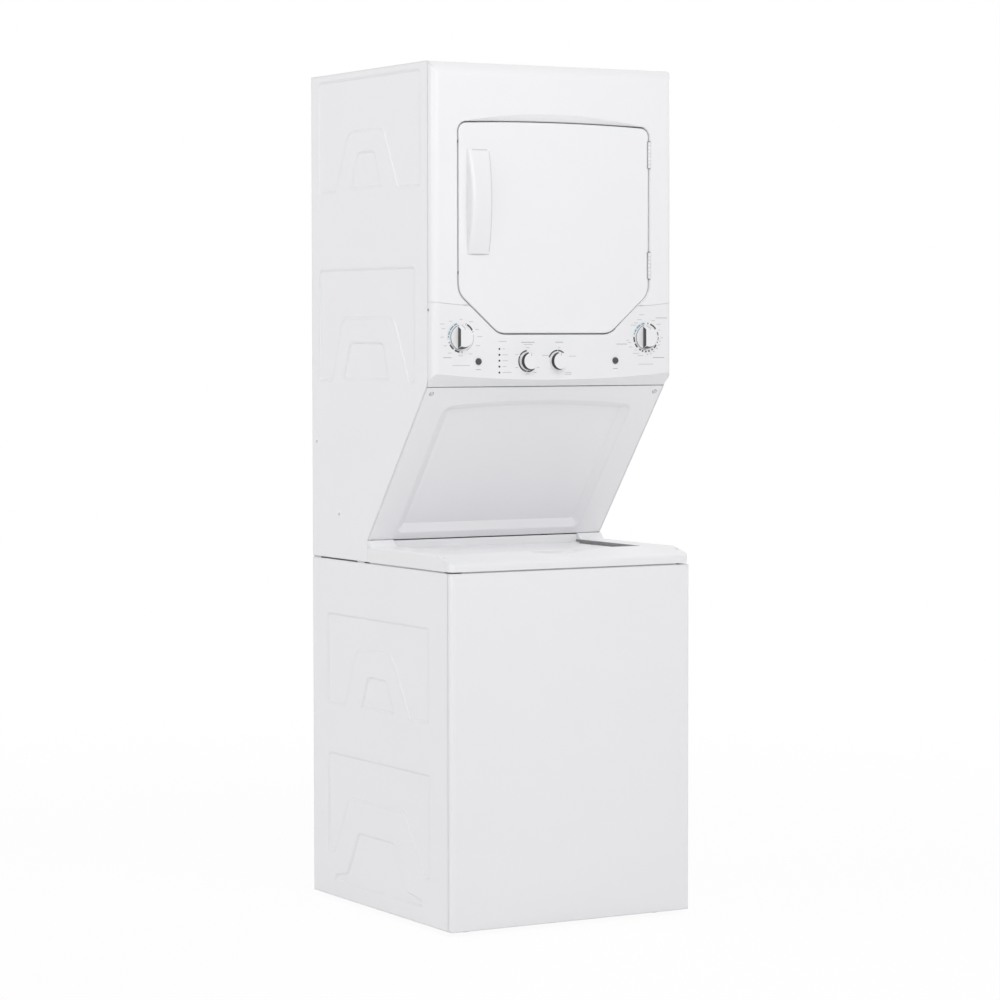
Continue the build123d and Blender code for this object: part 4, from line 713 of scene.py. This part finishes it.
# rolled edge of the door pocket on the hinge side, which narrows the gap there, and two stops on the left
doorEdge = {
    "half": 241.0, "top": 1736.5, "topRound": 21.0, "cutSide": 1372.0,
    "cutFoot": (141.0, 1284.5), "cutRound": 45.0, "gap": 1.5, "lap": 0.2, "face": -262.95,
    "depth": 3.0, "lip": 1.7, "cutLip": 2.1, "thinnest": 0.05, "roll": (0.4, 0.45),
    "hinges": (1677.5, 1434.5), "hingeHalf": 30.0, "stops": (1695.0, 1415.5), "stopIn": 0.4,
    "stopSize": (2.0, 6.0), "stopDepth": (0.4, 4.0), "topTurn": 80,
    "cutWidths": ((0.3, 1), (0.7, 1), (0.87, 0.6)),  # shares along the slanted edge and of its lip
}


def pocketLip(shape, route):  # route: x, z, outward angle in degrees and width of the lip
    root, depth = doorEdge["gap"] + doorEdge["lap"], doorEdge["depth"]
    rows = []
    for x, z, turn, width in route:
        out = Vector((cos(radians(turn)), 0, sin(radians(turn))))
        tip = doorEdge["gap"] - max(width, doorEdge["thinnest"])
        roll, rollDepth = doorEdge["roll"]
        section = [(root, 0), (tip + min(roll, width / 3), 0), (tip, rollDepth), (tip, depth), (root, depth)]
        rows.append([Vector((x, doorEdge["face"] + back, z)) + out * grow for grow, back in section])
    skinRows(shape, rows)


def lipCorner(radius, middle, angle, width):
    return (middle[0] + radius * cos(radians(angle)), middle[1] + radius * sin(radians(angle)), angle, width)


half, lip, cutLip = doorEdge["half"], doorEdge["lip"], doorEdge["cutLip"]
hingeHigh, hingeLow = doorEdge["hinges"]
hingeHalf = doorEdge["hingeHalf"]
lips = bmesh.new()
topRound = doorEdge["topRound"]
middle = (half - topRound, doorEdge["top"] - topRound)
turn = doorEdge["topTurn"]
top = [lipCorner(topRound, middle, angle, lip * (1 - angle / turn)) for angle in range(turn, -1, -10)]
pocketLip(lips, top + [(half, hingeHigh + hingeHalf, 0, lip)])
pocketLip(lips, [(half, hingeHigh - hingeHalf, 0, lip), (half, hingeLow + hingeHalf, 0, lip)])
cutRun = Vector((doorEdge["cutFoot"][0] - half, doorEdge["cutFoot"][1] - doorEdge["cutSide"]))
cutTurn = degrees(atan2(cutRun.x, -cutRun.y))  # how far the slanted edge turns from straight down
cutRound = doorEdge["cutRound"]
middle = (half - cutRound, doorEdge["cutSide"] + cutRound * tan(radians(-cutTurn / 2)))
low = [(half, hingeLow - hingeHalf, 0, lip)]
low += [lipCorner(cutRound, middle, cutTurn * i / 8, lip + (cutLip - lip) * i / 8) for i in range(9)]
for share, part in doorEdge["cutWidths"]:
    low.append((half + cutRun.x * share, doorEdge["cutSide"] + cutRun.y * share, cutTurn, cutLip * part))
pocketLip(lips, low)
finishPiece("pocketLips", lips, "cabinet", paint)
stops = bmesh.new()
near, far = (doorEdge["face"] + depth for depth in doorEdge["stopDepth"])
for z in doorEdge["stops"]:
    prism(stops, barOutline((-half - doorEdge["stopIn"], z), *doorEdge["stopSize"]), near, far)
finishPiece("doorStops", stops, "cabinet", "knobShade")

# painted shade along the pull handle's top and right edges, and painted shadow under its foot
pull = {
    "left": -220.0, "right": -167.0, "foot": 1456.0, "head": 1680.0, "face": -264.0, "end": 4.0,
    "bow": 31.0, "rim": 23.5, "waist": 4.0, "proud": 0.12, "sunk": 0.3,
    "topEdge": (-209.5, -171.5, 1676.6, 1679.7), "sideEdge": (0.1, 2.3),
    "topSteps": 6, "sideSteps": 24,
    "footShadow": {"x": -194.6, "width": 29.0, "height": 0.5, "lap": 0.1, "depth": (-267.7, -264.2)},
}
pullMiddle = (pull["foot"] + pull["head"]) / 2
pullReach = (pull["head"] - pull["foot"]) / 2


def pullFront(x, z):  # how far forward the handle stands at a place on the door
    ends = []
    for depth in (pull["bow"], pull["rim"]):
        rise = depth - pull["end"]
        radius = (pullReach ** 2 + rise ** 2) / (2 * rise)
        ends.append(pull["face"] - depth + radius - (radius ** 2 - (z - pullMiddle) ** 2) ** 0.5)
    return ends[0] + (ends[1] - ends[0]) * (x - pull["left"]) / (pull["right"] - pull["left"])


def pullStrip(shape, pairs):
    rows = []
    for pair in pairs:
        outer = [(x, pullFront(x, z) - pull["proud"], z) for x, z in pair]
        inner = [(x, pullFront(x, z) + pull["sunk"], z) for x, z in pair[::-1]]
        rows.append(outer + inner)
    skinRows(shape, rows)


# grey strips in the drum's grey enamel paint the shade along the handle's top and right edges
edges = bmesh.new()
left, right, low, high = pull["topEdge"]
steps = pull["topSteps"]
across = [left + (right - left) * i / steps for i in range(steps + 1)]
pullStrip(edges, [((x, low), (x, high)) for x in across])
side = []
for i in range(pull["sideSteps"] + 1):
    share = 2 * i / pull["sideSteps"] - 1
    z = pullMiddle + (pullReach - pull["end"]) * share
    x = pull["right"] - pull["waist"] * (1 - share ** 2)
    side.append(((x - pull["sideEdge"][1], z), (x - pull["sideEdge"][0], z)))
pullStrip(edges, side)
finishPiece("handleEdges", edges, "door", "drum_enamel")
# a grey plate under the handle's foot paints the shadow there
footShadow = bmesh.new()
place = pull["footShadow"]
middle = (place["x"], pull["foot"] - place["height"] / 2 + place["lap"])
prism(footShadow, barOutline(middle, place["width"], place["height"]), *place["depth"])
finishPiece("handleSlot", footShadow, "door", "printGrey")

# dryer hinges: grey rings that paint the shade in the gaps between the knuckles, grey pin ends, and a grey
# strip on the door that paints the shadow in the gap beside them
hinge = {
    "x": 241.0, "y": -264.0, "heights": (1677.5, 1434.5), "length": 57.0, "knuckles": 7,
    "core": 2.1, "line": 0.5, "proud": 3.62, "bevel": 0.3, "pin": 2.7, "pinCore": 0.4,
    "pinEnd": 2.6, "pinRound": 0.9, "pinShoulder": 0.6, "gapShadowIn": 4.3, "gapShadowWidth": 1.2, "gapShadowDepth": 0.9,
}
lines = bmesh.new()
gapShadow = bmesh.new()
centre = (hinge["x"], hinge["y"], 0)
for height in hinge["heights"]:
    foot, head = height - hinge["length"] / 2, height + hinge["length"] / 2
    r, core, half = hinge["proud"], hinge["core"], hinge["line"]
    neck = r - hinge["bevel"]
    for i in range(1, hinge["knuckles"]):
        z = foot + hinge["length"] * i / hinge["knuckles"]
        line = [(core, z - half), (neck, z - half), (r, z), (neck, z + half), (core, z + half)]
        spin(lines, line, 16, centre=centre)
    r, core, neck = hinge["pin"], hinge["pinCore"], hinge["pin"] - hinge["pinRound"]
    for end, way in ((foot, -1), (head, 1)):
        tip = end + hinge["pinEnd"] * way
        shoulder = end + (tip - end) * hinge["pinShoulder"]
        pin = [(core, end), (r, end), (r, shoulder), (neck, tip), (core, tip)]
        spin(lines, pin, 12, centre=centre)
    middle = (hinge["x"] - hinge["gapShadowIn"], height)
    strip = barOutline(middle, hinge["gapShadowWidth"], hinge["length"])
    prism(gapShadow, strip, hinge["y"], hinge["y"] - hinge["gapShadowDepth"])
finishPiece("hingeLines", lines, "cabinet", "printGrey")
finishPiece("hingeBends", gapShadow, "door", "printGrey")

# perforations, as dark plugs through the sheet that paint the shade seen through the holes
holes = {"sides": 10, "half": 1.2, "inset": 0.3, "dish": 0.25}
basketHoles = {"axisY": -45, "radius": 235, "size": 2.2, "low": 300, "pitch": 26, "rows": 13, "columns": 44}
drumHoles = {"axisZ": 1540, "y": 255, "size": 2.4, "rings": (184, 199, 214, 229, 244), "gap": 15}


def roundBar(radius, length, sides):
    bar = bmesh.new()
    bmesh.ops.create_cone(bar, cap_ends=True, segments=sides, radius1=radius, radius2=radius, depth=length)
    return bar


def holePlug(radius):
    plug = roundBar(radius, 2 * holes["half"], holes["sides"])
    caps = [face for face in plug.faces if len(face.verts) == holes["sides"]]
    bmesh.ops.inset_individual(plug, faces=caps, thickness=radius * holes["inset"], depth=-holes["dish"])
    return plug


basketSpots = []
for row in range(basketHoles["rows"]):
    for column in range(basketHoles["columns"]):
        a = 2 * pi * (column + row % 2 / 2) / basketHoles["columns"]
        z = basketHoles["low"] + row * basketHoles["pitch"]
        out = Vector((cos(a), sin(a), 0))
        place = out * basketHoles["radius"] + Vector((0, basketHoles["axisY"], z))
        basketSpots.append((place, out, (0, 0, 1)))
repeatPiece("basketHoles", holePlug(basketHoles["size"]), basketSpots, "basket", "holeShade")
drumSpots = []
for ring in drumHoles["rings"]:
    count = round(2 * pi * ring / drumHoles["gap"])
    for i in range(count):
        a = 2 * pi * i / count
        drumSpots.append(rearSpot(ring * cos(a), drumHoles["y"], drumHoles["axisZ"] + ring * sin(a)))
repeatPiece("drumHoles", holePlug(drumHoles["size"]), drumSpots, "drum", "holeShade")
print("perforations made,", len(basketSpots) + len(drumSpots))

# lint screen: woven threads over the three windows
lint = {
    "columns": (-82, 0, 82), "half": 38, "low": 1200, "high": 1300, "y": -234.5, "pitch": 4,
    "thread": 0.8, "threadSides": 6,
}
thread, sides = lint["thread"], lint["threadSides"]
width, height = 2 * lint["half"], lint["high"] - lint["low"]
middle = (lint["low"] + lint["high"]) / 2
warp, weft = [], []
for x in lint["columns"]:
    for i in range(1, width // lint["pitch"]):
        left = x - lint["half"] + i * lint["pitch"]
        warp.append(((left, lint["y"], middle), (0, 0, 1), (1, 0, 0)))
    for i in range(1, height // lint["pitch"]):
        z = lint["low"] + i * lint["pitch"]
        weft.append(((x, lint["y"], z), (1, 0, 0), (0, 1, 0)))
repeatPiece("lintWarp", roundBar(thread, height, sides), warp, "filter", "printGrey")
repeatPiece("lintWeft", roundBar(thread, width, sides), weft, "filter", "printGrey")

# agitator: fluted cap, a seam below it and grip ribs
agitator = {
    "axisY": -45, "cap": 27, "capLow": 589.8, "capHigh": 595,
    "capEdge": [(0, -2.4), (-2.2, -0.5), (-9, 0), (-11, -1.2)],  # from the fluted radius and from the top
    "capCore": (0.5, -1.6), "flutes": 12, "fluteDepth": 0.9, "seam": (46.93, 540),
    "seamProfile": [(-0.5, -0.6), (0.2, -0.6), (0.15, 0.6), (-0.5, 0.6)], "ribs": 28,
    "ribRadius": 45.9, "ribZ": 559,
    "ribProfile": [(0.3, -11), (0.9, -11), (1.4, -9.5), (1.4, 9.5), (0.9, 11), (0.3, 11)],
}
agitatorAxis = Vector((0, agitator["axisY"], 0))
cap = bmesh.new()


def fluted(angle):
    r = agitator["cap"] + agitator["fluteDepth"] * cos(radians(angle * agitator["flutes"]))
    low, high = agitator["capLow"], agitator["capHigh"]
    core, dish = agitator["capCore"]
    edge = [(r + out, high + up) for out, up in agitator["capEdge"]]
    return [(core, low), (r, low)] + edge + [(core, high + dish)]


spin(cap, fluted, 96, centre=agitatorAxis)
finishPiece("agitatorCap", cap, "agitator", "white_plastic")
seam = bmesh.new()
r, z = agitator["seam"]
spin(seam, [(r + out, z + up) for out, up in agitator["seamProfile"]], 64, centre=agitatorAxis)
finishPiece("agitatorSeam", seam, "agitator", "printGrey")
rib = bmesh.new()
spin(rib, agitator["ribProfile"], 8)
ribSpots = []
for i in range(agitator["ribs"]):
    a = 2 * pi * i / agitator["ribs"]
    out = Vector((cos(a), sin(a), 0))
    place = out * agitator["ribRadius"] + Vector((0, agitator["axisY"], agitator["ribZ"]))
    ribSpots.append((place, (0, 0, 1), out))
repeatPiece("agitatorRibs", rib, ribSpots, "agitator", "white_plastic")

# pan of the finger scoop in the cover's front rim, under the arc that the rim is cut to
scoop = {
    "half": 66, "hollowHalf": 57.2, "low": 807.0, "radius": 424.25, "rear": -241.5,
    "ridge": -272.0, "wallMiddle": 812.5, "slope": 0.274, "sunk": 0.25, "depth": 13.0,
    "thick": 1.0, "steps": 22,
    "shares": (0, 0.3, 0.5, 0.65, 0.8, 0.9, 1),  # from the rear to the front lip, where the pan comes up
}
pan = bmesh.new()
rows = []
for i in range(scoop["steps"] + 1):
    x = scoop["half"] * (2 * i / scoop["steps"] - 1)
    z = scoop["low"] + scoop["radius"] - (scoop["radius"] ** 2 - x ** 2) ** 0.5
    front = scoop["ridge"] - max(0.0, scoop["wallMiddle"] - z) / scoop["slope"]
    row = []
    for share in scoop["shares"]:
        hollow = scoop["depth"] * max(0, 1 - (x / scoop["hollowHalf"]) ** 2) * (1 - share ** 3)
        y = scoop["rear"] + (front - scoop["rear"]) * share
        row.append((x, y, z - scoop["sunk"] - hollow))
    rows.append(row + [(x, y, h - scoop["thick"]) for x, y, h in row[::-1]])
skinRows(pan, rows)
finishPiece("fingerScoop", pan, "cabinet", "white_plastic")

# felt strips down the sides of the lid's pocket, cut away over its pivots; their dark grey paints the shadow
# in the gap beside the lid
lidStrips = {
    "wall": 239.05, "face": 238.1, "round": 0.6, "high": 813.2,
    "runs": ((-239.0, 28.5, 799.0), (28.5, 43.0, 808.0)),  # front, rear and lower edge
}
shadeStrips = bmesh.new()
wall, face, high = lidStrips["wall"], lidStrips["face"], lidStrips["high"]
bevel = lidStrips["round"]
for side in (-1, 1):
    for front, rear, low in lidStrips["runs"]:
        profile = [(wall, low), (wall, high), (face + bevel, high)]
        profile += [(face, high - bevel), (face, low + bevel), (face + bevel, low)]
        prism(shadeStrips, [(side * x, z) for x, z in profile], front, rear)
finishPiece("lidStrips", shadeStrips, "cabinet", "grey_felt")

# coil springs under the tub's lugs, made in their rest shape; they do not close up or stretch as the tub
# floats
coils = {
    "tops": ((275, -300), (-275, -300), (275, 250), (-275, 250)), "topZ": 776.5, "lug": 201.5,
    "axisY": -45.0, "lugZ": 244.0, "foot": 58.0, "rise": 55.0, "turns": 4.25, "radius": 10.0,
    "wire": 1.9, "perTurn": 24, "sides": 8,
}
springs = bmesh.new()
wireTurns = [2 * pi * k / coils["sides"] for k in range(coils["sides"])]
count = round(coils["turns"] * coils["perTurn"])
for x, y in coils["tops"]:
    lugX = coils["lug"] if x > 0 else -coils["lug"]
    lugY = coils["axisY"] + (coils["lug"] if y > 0 else -coils["lug"])
    lug = Vector((lugX, lugY, coils["lugZ"]))
    up = (Vector((x, y, coils["topZ"])) - lug).normalized()
    side = up.cross(Vector((0, 1, 0))).normalized()
    ahead = up.cross(side)
    rows = []
    for i in range(count + 1):
        a = 2 * pi * i / coils["perTurn"]
        out = side * cos(a) + ahead * sin(a)
        middle = lug + up * (coils["rise"] * i / count - coils["foot"]) + out * coils["radius"]
        rows.append([middle + (out * cos(b) + up * sin(b)) * coils["wire"] for b in wireTurns])
    skinRows(springs, rows)
coilSprings = finishPiece("coilSprings", springs, None, "machined_steel", crease=60)
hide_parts("suspension_springs")
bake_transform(coilSprings)
print("washer details made")

# the back: inlet threads, duct beads, hoods over the air slots and grommets
rearDetails = {
    "valves": ((-205, 735), (-145, 735)),
    "thread": {
        "radius": 13.1, "crest": 14.2, "flat": 0.2, "first": 317, "pitch": 2.3, "fill": 0.95, "turns": 7,
    },
    "duct": {"place": (-70, 1167), "rings": (324, 331)},
    "beadProfile": [(50.7, -2), (51.9, -1.2), (52.4, 0), (51.9, 1.2), (50.7, 2)],
    "hoods": {"xs": (-90, 90), "middle": 950, "pitch": 22, "rows": 6, "face": 310.4},
    # section of a hood, down the panel and out of it, and its share along the length
    "hoodSection": [
        (-6.0, -0.2), (-5.2, 1.6), (-2.6, 3.2), (2.6, 3.4),
        (2.6, 2.6), (-2.2, 2.4), (-4.2, 1.0), (-4.4, -0.2),
    ],
    "hoodShares": ((-69, 0.1), (-66, 0.62), (-60, 0.9), (-52, 1), (52, 1), (60, 0.9), (66, 0.62), (69, 0.1)),
    "hoodEnd": 0.6,
    "grommets": ((200, 313, 1300, 14), (190, 313, 700, 19)),
    # round a grommet, from its hole's radius, and out of the panel
    "grommetSection": [
        (-3.8, -3), (-0.3, -3), (-0.3, 0), (3.2, 0), (3.2, 1.1), (1.4, 2.2), (-2.6, 2.2), (-3.8, 1.4),
    ],
}
thread = rearDetails["thread"]
ring = bmesh.new()
root, crest, flat = thread["radius"], thread["crest"], thread["flat"]
half = thread["pitch"] / 2 * thread["fill"]
spin(ring, [(root, -half), (crest, -flat), (crest, flat), (root, half)], 28)
threadSpots = []
for x, z in rearDetails["valves"]:
    for i in range(thread["turns"]):
        threadSpots.append(rearSpot(x, thread["first"] + i * thread["pitch"], z))
repeatPiece("inletThreads", ring, threadSpots, "cabinet", "brass")
duct = rearDetails["duct"]
bead = bmesh.new()
spin(bead, rearDetails["beadProfile"], 64)
beadSpots = [rearSpot(duct["place"][0], y, duct["place"][1]) for y in duct["rings"]]
repeatPiece("ductBeads", bead, beadSpots, "cabinet", "galvanised_steel")
hood = bmesh.new()
rows = []
for x, share in rearDetails["hoodShares"]:
    height = rearDetails["hoodEnd"] + (1 - rearDetails["hoodEnd"]) * share
    rows.append([(x, y * height, out * share) for y, out in rearDetails["hoodSection"]])
skinRows(hood, rows)
hoods = rearDetails["hoods"]
hoodSpots = []
for x in hoods["xs"]:
    for i in range(hoods["rows"]):
        z = hoods["middle"] + (i - (hoods["rows"] - 1) / 2) * hoods["pitch"]
        hoodSpots.append(rearSpot(x, hoods["face"], z))
repeatPiece("airHoods", hood, hoodSpots, "cabinet", "galvanised_steel")
grommets = bmesh.new()
for x, y, z, hole in rearDetails["grommets"]:
    section = [(hole + r, out) for r, out in rearDetails["grommetSection"]]
    spin(grommets, section, 40, axis=(0, 1, 0), centre=(x, y, z))
finishPiece("rearGrommets", grommets, "cabinet", "black_rubber")

# screws round the door's inner pan
doorScrews = {
    "y": -249.5, "size": 0.75,
    "places": [
        (-231, 1700), (-231, 1550), (-231, 1400), (231, 1700), (231, 1550), (231, 1400),
        (-120, 1727), (0, 1731), (120, 1727), (-80, 1294.5), (80, 1294.5),
    ],
}
doorSpots = [rearSpot(x, doorScrews["y"], z) for x, z in doorScrews["places"]]
repeatPiece("doorScrews", crossHead(), doorSpots, "door", "screwZinc", doorScrews["size"])
print("rear and door details made")

# studio
studio = {
    "floorSize": 60,
    "floorColour": (0.96, 0.96, 0.965),
    "floorWhite": (0.94, 1.0),  # share of plain white seen in the floor, near and far
    "floorFade": (1.0, 4.0),
    "floorRough": 0.9,
    "floorShine": 0.1,
    "worldLight": 0.50,
    "lampAim": (0, -0.2, 1.1),
    "lamps": {  # place, size and power
        "frontLamp": ((-0.1, -3.7, 3.5), 3.0, 40),
        "nearLamp": ((-0.5, -2.2, 2.4), 1.6, 11),
        "leftLamp": ((-4.2, 0.6, 3.2), 3.0, 56),
        "backLamp": ((4.2, 1.5, 3.4), 3.0, 48),
    },
}
for name, (place, size, power) in studio["lamps"].items():
    lamp = bpy.data.lights.new(name, "AREA")
    lamp.shape = "SQUARE"
    lamp.size = size
    lamp.energy = power
    holder = addObject(name, lamp)
    holder.location = place
    aim = Vector(studio["lampAim"]) - Vector(place)
    holder.rotation_euler = aim.to_track_quat("-Z", "Y").to_euler()


def whiteRays(tree):  # 1 for the rays that see the white background
    rays = addNode(tree, "ShaderNodeLightPath")
    mirrored = addNode(tree, "ShaderNodeMath", operation="MAXIMUM")
    tree.links.new(rays.outputs["Is Glossy Ray"], mirrored.inputs[0])
    tree.links.new(rays.outputs["Is Transmission Ray"], mirrored.inputs[1])
    seen = addNode(tree, "ShaderNodeMath", operation="MAXIMUM")
    tree.links.new(rays.outputs["Is Camera Ray"], seen.inputs[0])
    tree.links.new(mirrored.outputs[0], seen.inputs[1])
    return seen.outputs[0]


world = bpy.data.worlds.new("whiteStudio")
world.use_nodes = True
bpy.context.scene.world = world
tree = world.node_tree
strength = addNode(tree, "ShaderNodeMapRange", {"To Min": studio["worldLight"], "To Max": 1})
tree.links.new(whiteRays(tree), strength.inputs["Value"])
background = tree.nodes["Background"]
background.inputs["Color"].default_value = (1, 1, 1, 1)
tree.links.new(strength.outputs["Result"], background.inputs["Strength"])

floorMesh = bpy.data.meshes.new("floor")
half = studio["floorSize"] / 2
corners = [(-half, -half, 0), (half, -half, 0), (half, half, 0), (-half, half, 0)]
floorMesh.from_pydata(corners, [], [(0, 1, 2, 3)])
floor = addObject("floor", floorMesh)
floorPaint = bpy.data.materials.new("paleFloor")
floorPaint.use_nodes = True
tree = floorPaint.node_tree
link = tree.links.new
shader = tree.nodes["Principled BSDF"]
shader.inputs["Base Color"].default_value = (*studio["floorColour"], 1)
shader.inputs["Roughness"].default_value = studio["floorRough"]
shader.inputs["Specular IOR Level"].default_value = studio["floorShine"]
white = addNode(tree, "ShaderNodeEmission")
share = addNode(tree, "ShaderNodeMath", operation="MULTIPLY")
spot = addNode(tree, "ShaderNodeTexCoord")
away = addNode(tree, "ShaderNodeVectorMath", operation="LENGTH")
limits = (*studio["floorFade"], *studio["floorWhite"])
fadeValues = dict(zip(("From Min", "From Max", "To Min", "To Max"), limits))
fade = addNode(tree, "ShaderNodeMapRange", fadeValues, interpolation_type="SMOOTHSTEP")
link(spot.outputs["Object"], away.inputs[0])
link(away.outputs["Value"], fade.inputs["Value"])
link(fade.outputs["Result"], share.inputs[1])
blend = addNode(tree, "ShaderNodeMixShader")
link(whiteRays(tree), share.inputs[0])
link(share.outputs[0], blend.inputs["Fac"])
link(shader.outputs[0], blend.inputs[1])
link(white.outputs[0], blend.inputs[2])
link(blend.outputs[0], tree.nodes["Material Output"].inputs["Surface"])
floorMesh.materials.append(floorPaint)
print("studio made")

# camera
photoCamera = {
    "place": (-3.6901, -6.4685, 1.2873),
    "forward": (0.4961, 0.8668, -0.0504),
    "right": (0.8679, -0.4968, -0.0013),
    "lens": 119.35,
}
lens = bpy.data.cameras.new("photoCamera")
lens.sensor_width = 36
lens.lens = photoCamera["lens"]
lens.clip_end = 200
camera = addObject("photoCamera", lens)
back = -Vector(photoCamera["forward"]).normalized()
up = back.cross(Vector(photoCamera["right"])).normalized()
right = up.cross(back)
turn = Matrix((right, up, back)).transposed().to_4x4()
camera.matrix_world = Matrix.Translation(photoCamera["place"]) @ turn
bpy.context.scene.camera = camera
bpy.context.scene.view_settings.view_transform = "Standard"
